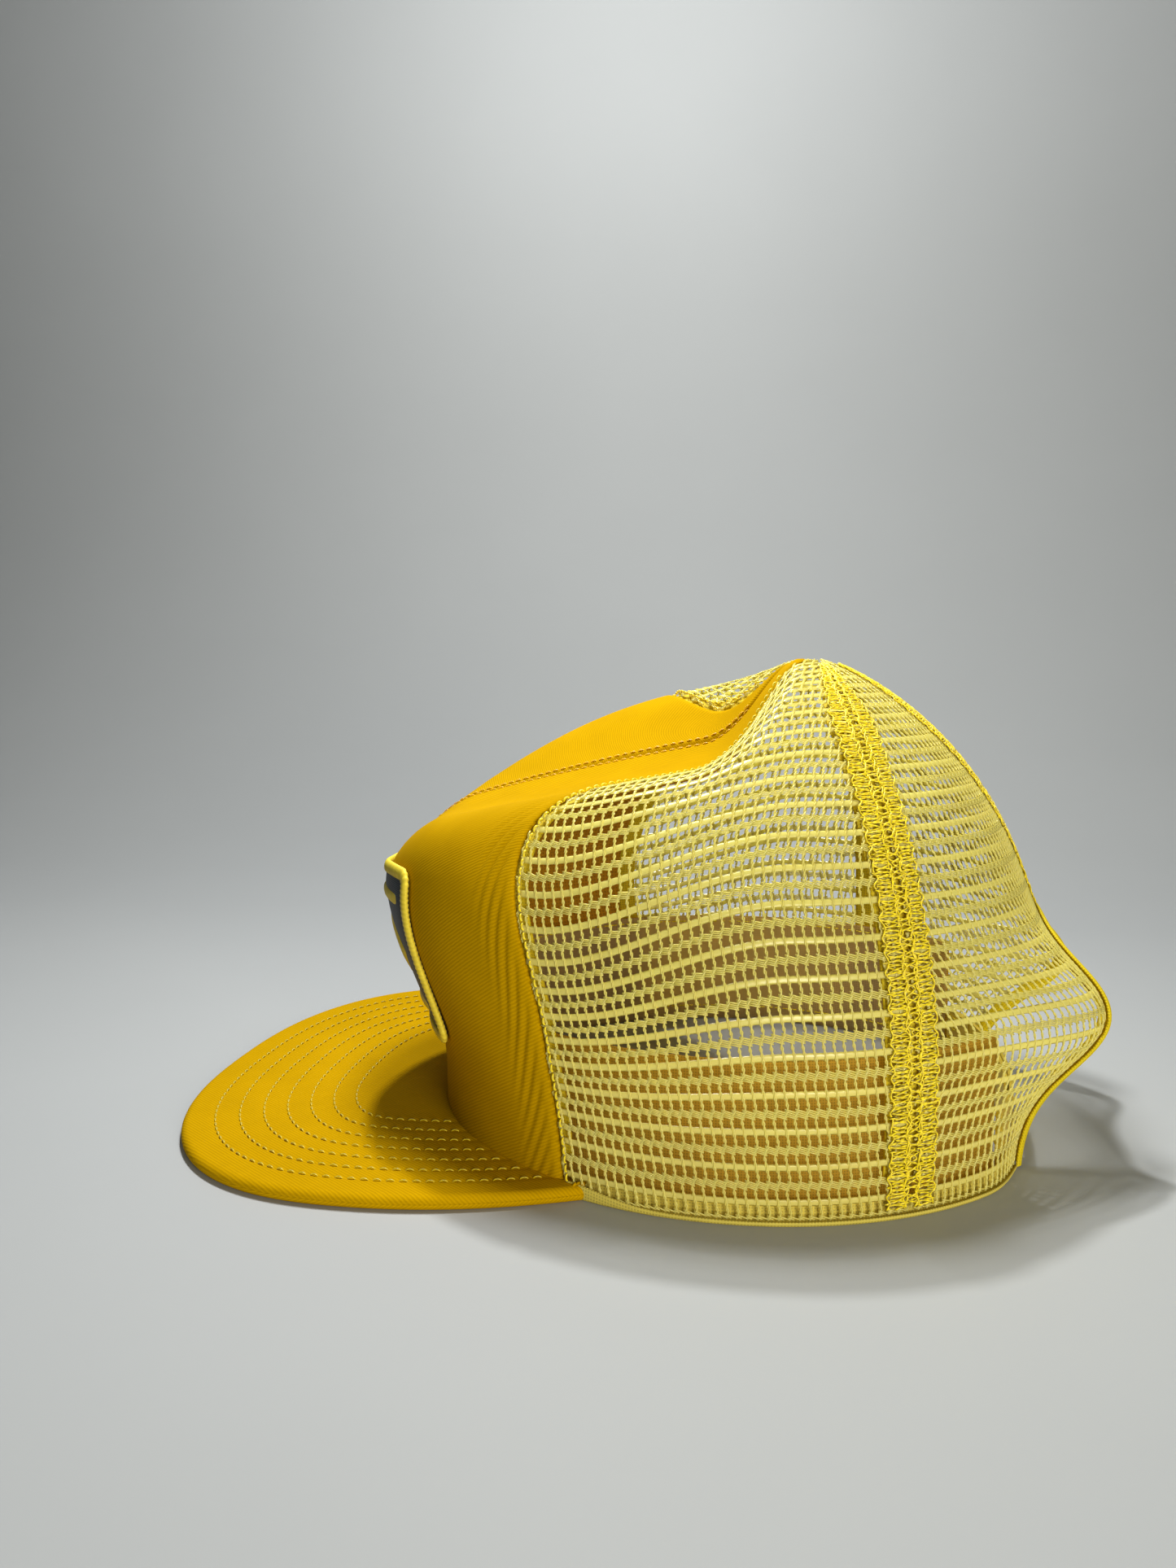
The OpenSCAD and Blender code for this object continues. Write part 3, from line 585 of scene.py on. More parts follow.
def satin_stitch(name, base, lie=0.0, thread=0.5):
    """Close rows of embroidery thread: a silky face with fine parallel ridges, and painted shade between
    them.
    """
    material, tree, surface, uv = new_material(name, "UV")
    turn = add_node(tree, "ShaderNodeMapping", {"Vector": uv, "Rotation": (0, 0, math.radians(lie))})
    rows = {"Vector": turn, "Scale": WAVE_PERIOD / thread, "Distortion": 1.0, "Detail": 1.0}
    ridges = add_node(tree, "ShaderNodeTexWave", rows, {"bands_direction": "Y"}, "Fac")
    tone = add_node(tree, "ShaderNodeTexNoise", {"Vector": uv, "Scale": 0.4, "Detail": 3.0})
    finish = {"Roughness": 0.55, "Specular IOR Level": 0.25}
    # Painted shade: the colour is darkened to 0.6 between the ridges
    dress(tree, surface, base, tone, (0.8, 1.15), finish, ridges, 0.6, ridges, (0.6, 0.15))
    return material


def moulded_plastic(name, base, gloss):
    """Moulded soft plastic: smooth, slightly waxy, with a faint orange-peel from the mould."""
    material, tree, surface, here = new_material(name, "Object")
    peel = add_node(tree, "ShaderNodeTexNoise", {"Vector": here, "Scale": 900.0, "Detail": 2.0})
    tone = add_node(tree, "ShaderNodeTexNoise", {"Vector": here, "Scale": 45.0, "Detail": 2.0})
    waxy = {"Subsurface Weight": 0.15, "Subsurface Radius": (2 * MM, 1.5 * MM, 0.4 * MM)}
    finish = {"Roughness": gloss, "IOR": 1.5, **waxy}
    dress(tree, surface, base, tone, (0.92, 1.05), finish, height=peel, bump=(0.15, 0.1))
    return material


def matte_paper(name, base):
    """Coated paper sweep: even, matte, with a very faint mottle."""
    material, tree, surface, here = new_material(name, "Object")
    mottle = add_node(tree, "ShaderNodeTexNoise", {"Vector": here, "Scale": 9.0, "Detail": 4.0})
    dress(tree, surface, base, mottle, (0.97, 1.02), {"Roughness": 0.7})
    return material


FRONT_ROWS, FRONT_COLUMNS = 150, 120
LINING_ROWS, LINING_COLUMNS = 60, 40
# Depth of the front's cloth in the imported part, and the thickness that it is drawn with
CLOTH, CLOTH_T = 1.0, 0.8
# Gap between a front panel and its seam's line, and how far the cloth dips along its two seams
PANEL_INSET, CENTRE_DIP, NET_DIP, DIP_WIDE = 0.25, 0.9, 0.7, 0.9
# Height of the puckers beside the net, and of the slack waves between the seams
PUCKER, SLACK = 0.3, 0.25
LINING_INSET, LINING_IN, LINING_T, LINING_TOP = 4.0, 1.3, 1.2, 0.9


def panel_grid(start, end, rows, columns, inset, low, high):
    """Angles and rows of a crown panel between two seams, and each point's distance from the seams."""
    t = np.linspace(low, high, rows + 1)[:, None]
    share = np.linspace(0, 1, columns + 1)[None]
    middle = (start(t) + end(t)) / 2
    room = turned(inset, spoke(middle, t))
    a, b = start(t) + room, end(t) - room
    phi = a + (b - a) * share
    t = np.broadcast_to(t, phi.shape)
    across = travel(crown(phi, t), 1)
    return phi, t, across, across[:, -1:] - across


class OBJECT_OT_cap_front(bpy.types.Operator):
    """Two cloth panels of the front, drawn in along their seams, and the stiff lining behind them"""

    bl_idname = "object.cap_front"
    bl_label = "Front panels"

    def execute(self, context):
        colours = context.scene.cap_colours
        twill = cotton_twill("Golden cotton twill", colours.cloth)
        buckram = woven_tape("Buckram lining", colours.lining, thread=1.2)
        low = row_of_z(BASE_Z)
        for side, hand in ((1, "left"), (-1, "right")):
            panel, lining = f"front_panel_{hand}", f"front_lining_{hand}"
            seams = (centre_front, front_side(1)) if side > 0 else (front_side(-1), centre_front)
            phi, t, left, right = panel_grid(*seams, FRONT_ROWS, FRONT_COLUMNS, PANEL_INSET, low, ROW_TOP)
            centre, net = (left, right) if side > 0 else (right, left)
            flat = skin(phi, t, 0.5 * CLOTH)
            up = travel(flat, 0)
            # The cloth dips into its seams, puckers in slanting folds beside the net and is slack between
            dip = -CENTRE_DIP * bell(centre, DIP_WIDE) - NET_DIP * bell(net, DIP_WIDE)
            fold = np.sin(2 * np.pi * (net * 0.30 + up * 0.12 + 0.6 * np.sin(up / 17)))
            beside = smooth((net - 1.0) / 3) * (1 - smooth((net - 7) / 9)) * (1 - smooth((t - 0.5) / 0.15))
            between = smooth((centre - 6) / 10) * smooth((net - 12) / 12) * (1 - smooth((t - 0.5) / 0.2))
            wave = np.sin(up / 9.0 + centre / 23)
            points = skin(phi, t, 0.5 * CLOTH + dip + PUCKER * fold * beside + SLACK * wave * between)
            weave = cloth_uv(flat)
            sheet(panel, points, twill, CLOTH_T, weave)
            phi, t = panel_grid(*seams, LINING_ROWS, LINING_COLUMNS, LINING_INSET, low, LINING_TOP)[:2]
            sheet(lining, skin(phi, t, -LINING_IN), buckram, LINING_T)
        return {"FINISHED"}


# Rows and columns of a panel's table of lengths, and how far its columns run past the seams
TABLE_ROWS, TABLE_COLUMNS, TABLE_PAST = 200, 141, 0.06
# Height of the net above the crown, its bare edge beside a seam, and how far it is laid past its top and hem
NET_H, NET_EDGE, NET_PAST, ROW_PAST = 0.5, 0.4, 25, 0.002


class NetTable:
    """A crown panel measured as cloth: how far each point lies across and up the panel."""

    def __init__(self, start, end):
        self.start, self.end = start, end
        self.rows = np.linspace(row_of_z(BASE_Z), ROW_TOP, TABLE_ROWS)
        self.shares = np.linspace(-TABLE_PAST, 1 + TABLE_PAST, TABLE_COLUMNS)
        t = self.rows[:, None]
        points = crown(start(t) + (end(t) - start(t)) * self.shares, t)
        across = travel(points, 1)
        self.across = across - across[:, [TABLE_COLUMNS // 2]]
        middle = points[:, TABLE_COLUMNS // 2]
        self.up = travel(middle[:, None], 0)[:, 0]

    def half(self):
        """Half the panel's greatest width."""
        return max(np.abs(self.across[:, 0]).max(), self.across[:, -1].max())

    def place(self, a, b):
        """Angle and row of the points a across and b up the panel, and whether they lie in it."""
        row = np.interp(b, self.up, np.arange(TABLE_ROWS))
        low = np.minimum(row.astype(int), TABLE_ROWS - 2)
        share = np.zeros_like(row)
        for k in np.unique(low):
            here = low == k
            ends = [np.interp(a[here], self.across[k + i], self.shares) for i in (0, 1)]
            part = row[here] - k
            share[here] = ends[0] * (1 - part) + ends[1] * part
        t = np.interp(row, np.arange(TABLE_ROWS), self.rows)
        phi = self.start(t) + (self.end(t) - self.start(t)) * share
        edge = NET_EDGE / np.maximum(np.interp(row, np.arange(TABLE_ROWS), self.across[:, -1]), 1.0)
        inside = (share > edge / 2) & (share < 1 - edge / 2) & (b >= 0) & (b <= self.up[-1])
        return phi, t, inside & (t >= row_low(phi) - ROW_PAST)


# Sideways step of a pillar, half the height of a slanting band, and stations in one repeat
JOG, ZIG_HALF, STATIONS = 0.55, 1.1, 12
# How far the two strands of a pillar twist to the side and up, and their turns in one repeat
TWIST_WIDE, TWIST_HIGH, TWISTS = 0.26, 0.16, 3
BAND_T, BAND_SUNK, BAND_RIPPLE = 0.18, 0.15, 0.06
# Slanting yarns of one gap: their rows, the step between rows, and the fall from pillar to pillar, halved
SLANT_ROWS, SLANT_STEP, SLANT_FALL = (-1.5, -0.5, 0.5, 1.5), 0.5, 0.5
SLANT_WIDE, SLANT_T = 0.2, 0.17
# How far the bands of a side panel fall towards its front seam
NET_FALL = 19


def pillar_jog(v, repeat):
    """Sideways step of a pillar: it slants one way through each slanting band and drifts back after it."""
    f = (v / repeat + 0.5) % 1 - 0.5
    d = np.abs(f) * repeat
    inside = f * repeat / ZIG_HALF
    back = np.sign(f) * (repeat / 2 - d) / (repeat / 2 - ZIG_HALF)
    return JOG * np.where(d < ZIG_HALF, inside, back)


def net_meshes(table, sag):
    """Yarns of one net panel: knitted pillars, flat bands, and bands of four slanting yarns midway."""
    net = bpy.context.scene.cap_net
    pitch, repeat = net.pillar_pitch / MM, net.band_repeat / MM
    yarn, band = net.yarn / MM, net.band_width / MM
    reach = int(table.half() / pitch) + 3
    top = table.up[-1] + NET_PAST
    meshes = []

    def lay(a, v, h, wide, thick, sides):
        phi, t, inside = table.place(a, v - sag(a, v))
        meshes.append(tube_mesh(skin(phi, t, h), crown_normal(phi, t), wide, thick, sides, inside))

    columns = (np.arange(-reach, reach) + 0.5) * pitch
    a, v = np.meshgrid(columns, np.arange(0, top, repeat / STATIONS), indexing="ij")
    wave = 2 * np.pi * v / (repeat / TWISTS)
    for strand in (1, -1):
        across = a + pillar_jog(v, repeat) + strand * TWIST_WIDE * np.sin(wave)
        lay(across, v, NET_H + strand * TWIST_HIGH * np.cos(wave), yarn, yarn, 4)
    # Flat bands half way between the slanting ones
    levels = np.arange(0, int(top / repeat) + 1) * repeat
    a, v = np.meshgrid(np.arange(-reach * 2, reach * 2 + 1) * pitch / 2, levels + repeat / 2, indexing="xy")
    ripple = BAND_RIPPLE * np.cos(2 * np.pi * a / pitch)
    lay(a, v + ripple, np.full_like(a, NET_H - BAND_SUNK), band / 2, BAND_T, 6)
    # Four thin yarns slant down across each gap between pillars
    k, j, m, s = np.meshgrid(columns[:-1], levels, SLANT_ROWS, (0, 0.5, 1), indexing="ij")
    k, j, m, s = (v.reshape(-1, 3) for v in (k, j, m, s))
    v = j + SLANT_STEP * m + SLANT_FALL * (1 - 2 * s)
    lay(k + pitch * (s * 1.2 - 0.1), v, NET_H + 0.05 + 0.1 * np.abs(s - 0.5), SLANT_WIDE, SLANT_T, 4)
    return meshes


class OBJECT_OT_cap_net(bpy.types.Operator):
    """Four net panels, knitted yarn by yarn"""

    bl_idname = "object.cap_net"
    bl_label = "Net panels"

    def execute(self, context):
        nylon = nylon_net("Knitted nylon net", context.scene.cap_colours.net)
        seams = {
            "mesh_side_left": (front_side(1), side_back(1), 1),
            "mesh_side_right": (side_back(-1), front_side(-1), -1),
            "mesh_back_left": (side_back(1), centre_back(1), 0),
            "mesh_back_right": (centre_back(-1), side_back(-1), 0),
        }
        for name, (start, end, front) in seams.items():

            def sag(a, v, front=front):
                # The side panels were cut so that their bands fall towards the front seam
                return abs(front) * NET_FALL * smooth((v - 8) / 80) * smooth((18 - front * a) / 66)

            net = piece(name, net_meshes(NetTable(start, end), sag), nylon)
            share = np.linspace(0, 1, 60)
            t = np.linspace(row_of_z(BASE_Z), ROW_TOP, 90)[:, None]
            phi = start(t) + (end(t) - start(t)) * share
            size, area = cut_size(crown(phi, np.maximum(t, row_low(phi))))
        return {"FINISHED"}


# Share of the crown's radius that a tape may cover near the point, and the seams' last row and steps
STRIP_SHARE, SEAM_TOP, SEAM_STEPS = 0.4, 0.93, 500
# Tapes: depth behind the crown, thickness, steps up and across, and share of the width beside the front
TAPE_IN, TAPE_T, TAPE_STEPS, TAPE_COLUMNS, TAPE_FRONT = 0.9, 0.6, 90, 9, 0.6
# Heights where the tapes start above the hem, and where seams start above the arch and the patch
TAPE_FOOT, ABOVE_ARCH = 9, 4
# Thread along the front seams: distance from the seam, then pitch, gap and radius of its stitches
TWIN_SHIFT, TWIN_SUNK, TWIN_STITCH = 2.1, 0.06, (2.6, 0.5, 0.22)
SIDE_RISE, SIDE_FOOT, SIDE_STITCH = 0.1, 4, (2.4, 0.4, 0.34)
# Overlocked rows over the net's seams: distance from the seam, half width and pitch
OVERLOCK_ROWS, OVERLOCK_FOOT = ((-3.4, 2.4, 2.1), (0.0, 1.9, 3.3), (3.4, 2.4, 2.1)), 3
# Half width and half thickness of a looping thread and of a holding thread
LOOP_THREAD, HOLD_THREAD = (0.27, 0.23), (0.24, 0.2)


def narrowed(arm):
    """Share of its width that a strip keeps at a distance from the upright line through the point."""
    return np.minimum(1, STRIP_SHARE * arm / mm("tape_width"))


def seam_line(seam, shift, h, low, steps):
    """Angles, rows and points along a seam, moved sideways by a distance that narrows near the point."""
    t = np.linspace(low, SEAM_TOP, steps)
    t = t.reshape((-1,) + (1,) * (np.ndim(shift) > 0))
    arm = spoke(seam(t), t)
    phi, t = np.broadcast_arrays(seam(t) + turned(narrowed(arm) * shift, arm), t)
    return phi, t, skin(phi, t, h)


def seam_stitches(seam, shift, h, low, stitch):
    """A row of single stitches beside a seam."""
    phi, t, points = seam_line(seam, shift, h, low, SEAM_STEPS)
    return stitch_mesh(points, crown_normal(phi, t), *stitch)


def overlock(seam, shift, half, pitch, low):
    """A row of overlocked thread: two threads that loop to and fro over the net's edge, unevenly."""
    t = np.linspace(low, SEAM_TOP, SEAM_STEPS)
    arm = spoke(seam(t), t)
    run = travel(crown(seam(t), t)[None], 1)[0]
    steps = np.arange(0, run[-1], pitch / 4)
    t = np.interp(steps, run, t)
    arm = np.interp(steps, run, arm)
    wander = 0.55 * np.sin(steps * 0.9 + shift) + 0.45 * np.sin(steps * 2.3 + 1 + shift)
    reach = half * (1 + 0.2 * np.sin(steps * 1.7 + 2 * shift))

    def laid(aside, h, thread):
        phi = seam(t) + turned(narrowed(arm) * (shift + 0.3 * wander + aside), arm)
        return tube_mesh(skin(phi, t, CLOTH + h)[None], crown_normal(phi, t)[None], *thread, 4)

    meshes = []
    for phase in (0, 0.5):
        wave = 2 * np.pi * (steps / pitch + phase) + wander
        rise = 0.1 + 0.25 * np.cos(2 * wave + 2 * np.pi * phase)
        meshes.append(laid(reach * np.sin(wave), rise, LOOP_THREAD))
    # Two straighter threads hold the loops along their edges
    for edge in (-1, 1):
        wave = np.pi * steps / pitch + edge
        meshes.append(laid(edge * (half - 0.4) + 0.4 * np.sin(wave), 0.2 + 0.15 * np.cos(wave), HOLD_THREAD))
    return meshes


class OBJECT_OT_cap_seams(bpy.types.Operator):
    """Tapes inside the seams, and the thread along them outside"""

    bl_idname = "object.cap_seams"
    bl_label = "Seams"

    def execute(self, context):
        colours = context.scene.cap_colours
        tape = woven_tape("Woven seam tape", colours.tape)
        thread = sewing_thread("Polyester sewing thread", colours.thread)
        # The centre seam's thread is a golden yellow a little lighter than the cloth, painted lighter still
        # to offset the shade in the seam's fold
        gold_painted_lighter = sewing_thread("Golden sewing thread", shade(colours.cloth, 1.8)[:3])
        wide = mm("tape_width")
        above_patch = row_of_z(mm("patch_low") + mm("patch_height") + ABOVE_ARCH)
        above_arch = row_of_z(mm("arch_height") + ABOVE_ARCH)
        foot = row_of_z(TAPE_FOOT)
        seams = {
            "centre_front": (centre_front, wide, row_of_z(BASE_Z)),
            "front_side_left": (front_side(1), TAPE_FRONT * wide, foot),
            "front_side_right": (front_side(-1), TAPE_FRONT * wide, foot),
            "side_back_left": (side_back(1), wide, foot),
            "side_back_right": (side_back(-1), wide, foot),
            "centre_back": (centre_back(1), wide, above_arch),
        }
        for name, (seam, width, low) in seams.items():
            shift = np.linspace(-width / 2, width / 2, TAPE_COLUMNS)[None]
            points = seam_line(seam, shift, -TAPE_IN, low, TAPE_STEPS)[2]
            sheet(f"tape_{name}", points, tape, TAPE_T)
        sides = (-TWIN_SHIFT, TWIN_SHIFT)
        twin = [seam_stitches(centre_front, s, CLOTH - TWIN_SUNK, above_patch, TWIN_STITCH) for s in sides]
        piece("stitch_centre_front", twin, gold_painted_lighter)
        for side, hand in ((1, "left"), (-1, "right")):
            low = row_of_z(SIDE_FOOT)
            row = seam_stitches(front_side(side), side * TWIN_SHIFT, CLOTH + SIDE_RISE, low, SIDE_STITCH)
            piece(f"stitch_front_side_{hand}", [row], thread)
        for name in ("side_back_left", "side_back_right", "centre_back"):
            low = above_arch if name == "centre_back" else row_of_z(OVERLOCK_FOOT)
            meshes = []
            for row in OVERLOCK_ROWS:
                meshes += overlock(seams[name][0], *row, low)
            piece(f"stitch_{name}", meshes, thread)
        return {"FINISHED"}


def patch_angle(s, z):
    """Angle of a point s round the front at a height, on the leaning surface."""
    half_long, back = mm("head_length") / 2, mm("apex_back")
    lean = mm("front_lean") * smooth((z / mm("crown_height") - LEAN_FROM) / LEAN_OVER)
    return turned(s, half_long * (1 + 0.8 * lean / (half_long + back)))


def on_patch(s, z, h):
    """Points of the patch, s round the front and z up, h off the crown, and the way out there."""
    phi, t = patch_angle(s, z), row_of_z(z)
    return skin(phi, t, h), crown_normal(phi, t)


BORDER, BORDER_T, BORDER_LOOP = 3.6, 1.0, 1.3
PATCH_CORNER, PATCH_EDGE = 5.0, 1.2
# Height of the patch off the crown, its thickness, and how far its ground swells
PATCH_H, PATCH_T, PATCH_SWELL = 1.5, 1.2, 0.5
# Half width and half height of a lozenge, distance between lozenges, and the bars' half height and places
LOZENGE, LOZENGE_STEP = (11, 9), 29
BAR_HALF, BAR_END, BAR_IN = 1.3, 8, 9.3


def satin_shape(middle_s, middle_z, half_wide, half_tall, slope):
    """A raised shape of satin stitch on the patch: a bar at slope 0, a lozenge at slope 1."""
    u, w = np.meshgrid(np.linspace(-1, 1, 25), np.linspace(-1, 1, 13), indexing="xy")
    limit = half_tall * ((1 - np.abs(u)) * slope + (1 - slope)) + 0.3
    crest = (1 - np.abs(w) ** 3) * (1 - np.abs(u) ** 8)
    s, z = middle_s + u * half_wide, middle_z + w * limit
    points = on_patch(s, z, PATCH_H + PATCH_T - 0.15 + 0.85 * crest)[0]
    return grid_mesh(points, np.stack([s, z], axis=-1))


class OBJECT_OT_cap_patch(bpy.types.Operator):
    """Slate patch with an overlocked yellow border and a plain stitched motif"""

    bl_idname = "object.cap_patch"
    bl_label = "Patch"

    def execute(self, context):
        colours = context.scene.cap_colours
        ground = satin_stitch("Slate embroidery ground", colours.patch)
        border = satin_stitch("Overlocked border thread", colours.embroidery, thread=0.9)
        satin = satin_stitch("Yellow satin stitch", colours.embroidery, lie=90)
        wide, tall, foot = mm("patch_width"), mm("patch_height"), mm("patch_low")
        middle = foot + tall / 2
        # The ground swells a little between its edges, and its corners are drawn in to a round
        s = np.linspace(-wide / 2 + PATCH_EDGE, wide / 2 - PATCH_EDGE, 121)[None]
        z = np.linspace(foot + PATCH_EDGE, foot + tall - PATCH_EDGE, 57)[:, None]
        s, z = np.broadcast_arrays(s, z)
        edge = np.minimum(wide / 2 - np.abs(s), np.minimum(z - foot, foot + tall - z))
        hold_s = np.sign(s) * (wide / 2 - PATCH_CORNER)
        hold_z = middle + np.sign(z - middle) * (tall / 2 - PATCH_CORNER)
        past_s = np.abs(s) > np.abs(hold_s)
        past_z = np.abs(z - middle) > tall / 2 - PATCH_CORNER
        corner = np.hypot(np.where(past_s, s - hold_s, 0), np.where(past_z, z - hold_z, 0))
        pull = np.minimum(1, (PATCH_CORNER - PATCH_EDGE) / np.maximum(corner, 1e-6))
        s = np.where(past_s, hold_s + (s - hold_s) * pull, s)
        z = np.where(past_z, hold_z + (z - hold_z) * pull, z)
        points = on_patch(s, z, PATCH_H + 0.5 * PATCH_T + PATCH_SWELL * smooth(edge / 8))[0]
        mesh = grid_mesh(points, np.stack([s, z], axis=-1))
        base = piece("patch_base", [mesh], ground, 1.0, -1.0)

        # The border is a roll of close loops round the patch's rounded outline
        radius = PATCH_CORNER - BORDER / 2
        centre_s, centre_z = wide / 2 - PATCH_CORNER, tall / 2 - PATCH_CORNER
        turn = np.linspace(0, 90, 9)
        line = [
            [x * centre_s, y * centre_z] + radius * np.stack([cosd(a + turn), sind(a + turn)], axis=-1)
            for x, y, a in ((1, -1, -90), (1, 1, 0), (-1, 1, 90), (-1, -1, 180))
        ]
        line = np.concatenate([*line, line[0][:1]])
        run = travel(line[None], 1)[0]
        loops = round(run[-1] / BORDER_LOOP)
        steps = np.linspace(0, run[-1], loops * 4 + 1)
        s, z = (np.interp(steps, run, line[:, k]) for k in (0, 1))
        ripple = 1 + 0.09 * np.sin(2 * np.pi * loops * steps / run[-1])
        points, out = on_patch(s, z + middle, PATCH_H + 0.75)
        roll = tube_mesh(points[None], out[None], BORDER / 2 * ripple, BORDER_T * ripple, sides=12)
        piece("patch_border", [roll], border)

        # Three lozenges between two bars
        motif = [satin_shape(k * LOZENGE_STEP, middle, *LOZENGE, 1.0) for k in (-1, 0, 1)]
        bars = (foot + BAR_IN, foot + tall - BAR_IN)
        motif += [satin_shape(0, z, wide / 2 - BAR_END, BAR_HALF, 0.0) for z in bars]
        piece("patch_motif", motif, satin)
        return {"FINISHED"}


# Power of the visor's rounded outline, the angle of its ends on the hem, and its distance from the hem there
VISOR_POWER, VISOR_HALF, VISOR_JOIN = 2.4, 67.5, 1.7
STITCH_FIRST, STITCH_STEP, STITCH_ROWS = 9.0, 6.6, 7
# Pitch, gap and radius of the visor's stitches, their height off the cloth, and the groove that they draw
VISOR_STITCH, VISOR_STITCH_H = (3.4, 1.1, 0.26), 0.02
GROOVE, GROOVE_WIDE = 0.16, 1.1
VISOR_CLOTH_T, VISOR_INNER = 0.7, 0.9


def visor_plan():
    """Half the visor's width, the place along y where it is widest, and the end of its edge on the hem."""
    wide_y = mm("visor_round") - mm("head_length") / 2 - mm("visor_reach")
    return mm("visor_width") / 2, wide_y, rim(np.array(VISOR_HALF), VISOR_JOIN)


def visor_edge(q, d):
    """The visor's outline in plan, moved inwards by d: q runs from -2 at one end, by 0 at the tip, to 2."""
    half, wide_y, end = visor_plan()
    a = 90 * np.minimum(1, np.abs(q))
    v = np.maximum(0, np.abs(q) - 1)
    x = (half - d) * sind(a) ** (2 / VISOR_POWER) - (half - end[0]) * v**2
    y = wide_y - (mm("visor_round") - d) * np.maximum(0, cosd(a)) ** (2 / VISOR_POWER) + (end[1] - wide_y) * v
    return np.stack([np.sign(q) * x, y], axis=-1)


def visor_turns(count):
    """Values of q evenly spaced along the outline."""
    q = np.linspace(-2, 2, 4001)
    run = travel(visor_edge(q, 0)[None], 1)[0]
    return np.interp(np.linspace(0, run[-1], count), run, q)


def visor_depth(x, y):
    """How far inside the outline a point of the plan lies, found by halving."""
    half, wide_y, end = visor_plan()
    v = np.maximum(0, (y - wide_y) / (end[1] - wide_y))
    beside = half - (half - end[0]) * v**2 - np.abs(x)
    low, high = np.zeros_like(x), np.full_like(x, mm("visor_round") - 1)
    for _ in range(30):
        d = (low + high) / 2
        ahead = np.maximum(0, wide_y - y) / (mm("visor_round") - d)
        out = (np.abs(x) / (half - d)) ** VISOR_POWER + ahead**VISOR_POWER > 1
        low, high = np.where(out, low, d), np.where(out, d, high)
    return np.where(y > wide_y, beside, (low + high) / 2)


class OBJECT_OT_cap_visor(bpy.types.Operator):
    """Flat visor: two cloths over a board, meeting at a round edge, with rows of stitching"""

    bl_idname = "object.cap_visor"
    bl_label = "Visor"

    def execute(self, context):
        colours = context.scene.cap_colours
        twill = cotton_twill("Visor cotton twill", colours.cloth, rib=0.9, lean=35.0)
        thread = sewing_thread("Visor stitching thread", shade(colours.thread, 0.6)[:3])
        thick = mm("visor_thick")
        edge_r = thick / 2
        q = visor_turns(261)
        turn = np.linspace(0, 90, 7)
        share = np.linspace(0, 1, 91)[1:]
        inner = rim(VISOR_HALF * np.linspace(-1, 1, len(q)), VISOR_INNER)
        outer = visor_edge(q, edge_r)
        # At the visor's two corners the cloth runs out, and its columns stop short instead of folding back
        inward = unit(outer - visor_edge(q, 0))
        room = np.sum((inner - outer) * inward, axis=-1, keepdims=True)
        inner = inner + np.maximum(0, 0.1 - room) * inward
        plan = [visor_edge(q, edge_r * (1 - cosd(a))) for a in turn]
        plan = np.array(plan + [outer * (1 - r) + inner * r for r in share])
        # The weave is measured on the cloth before it was drawn over the edge
        unrolled = [visor_edge(q, edge_r * (1 - math.radians(90 - a))) for a in turn]
        weave = np.concatenate([unrolled, plan[len(turn) :]])
        rise = np.concatenate([sind(turn), np.ones(len(share))])[:, None]
        depth = visor_depth(plan[..., 0], plan[..., 1])
        # The upper cloth is drawn down along each row of stitching and swells a little between the rows
        row = (depth - STITCH_FIRST) / STITCH_STEP
        near = np.abs(row - np.clip(np.round(row), 0, STITCH_ROWS - 1)) * STITCH_STEP
        sunk = GROOVE * bell(near, GROOVE_WIDE) * (depth > 2)
        for name, up in (("visor_top_cloth", 1), ("visor_under_cloth", -1)):
            z = np.where(rise < 0.02, edge_r, edge_r + up * (edge_r * rise - sunk * (up > 0)))
            # Each cloth faces outwards, so the under one runs the other way round
            points, uv = at_height(plan, z)[:, ::up], weave[:, ::up]
            sheet(name, points, twill, VISOR_CLOTH_T, uv, offset=-1.0)
        rows = []
        off = VISOR_JOIN + 0.8
        reach = np.array([mm("head_width") / 2 + off, mm("head_length") / 2 + off])
        for k in range(STITCH_ROWS):
            line = visor_edge(np.linspace(-2, 2, 1200), STITCH_FIRST + STITCH_STEP * k)
            free = np.square(line / reach).sum(axis=-1) > 1
            points = at_height(line[free & (line[:, 1] < visor_plan()[2][1])], thick + VISOR_STITCH_H)
            rows.append(stitch_mesh(points, np.broadcast_to([0.0, 0.0, 1.0], points.shape), *VISOR_STITCH))
        piece("visor_stitching", rows, thread)
        plastic_finish(moulded_plastic("Moulded visor board", linear("#F0EEE4"), 0.5), "visor_board")
        return {"FINISHED"}


def plastic_finish(plastic, *names):
    """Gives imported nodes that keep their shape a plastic."""
    for name in names:
        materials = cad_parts[name].data.materials
        materials.clear()
        materials.append(plastic)


# Angle where the hem tape starts, beside the front panels
HEM_FROM, HEM_T = 64.0, 0.5
# Section of the folded hem tape, from the inside round under the net's edge: distance out, and height
HEM_OUT = (-1.1, -1.1, -1.05, -0.8, -0.2, 0.5, 1.1, 1.4, 1.5, 1.35)
HEM_UP = (5.2, 3.0, 1.4, 0.55, 0.3, 0.3, 0.45, 0.9)
# Height that the tape climbs outside, and how much higher it starts beside the front panels
HEM_LIFT, HEM_START, HEM_SPREAD = 1.3, 3.0, 10
# Sweatband: distance inside the hem, thickness, height of its waves, and how far it stops before the arch
BAND_IN, BAND_CLOTH_T, BAND_WAVE, BAND_STOP = 3.4, 0.9, 0.35, 17
BAND_STITCH, BAND_STITCH_IN = (3.0, 0.6, 0.28), 3.9


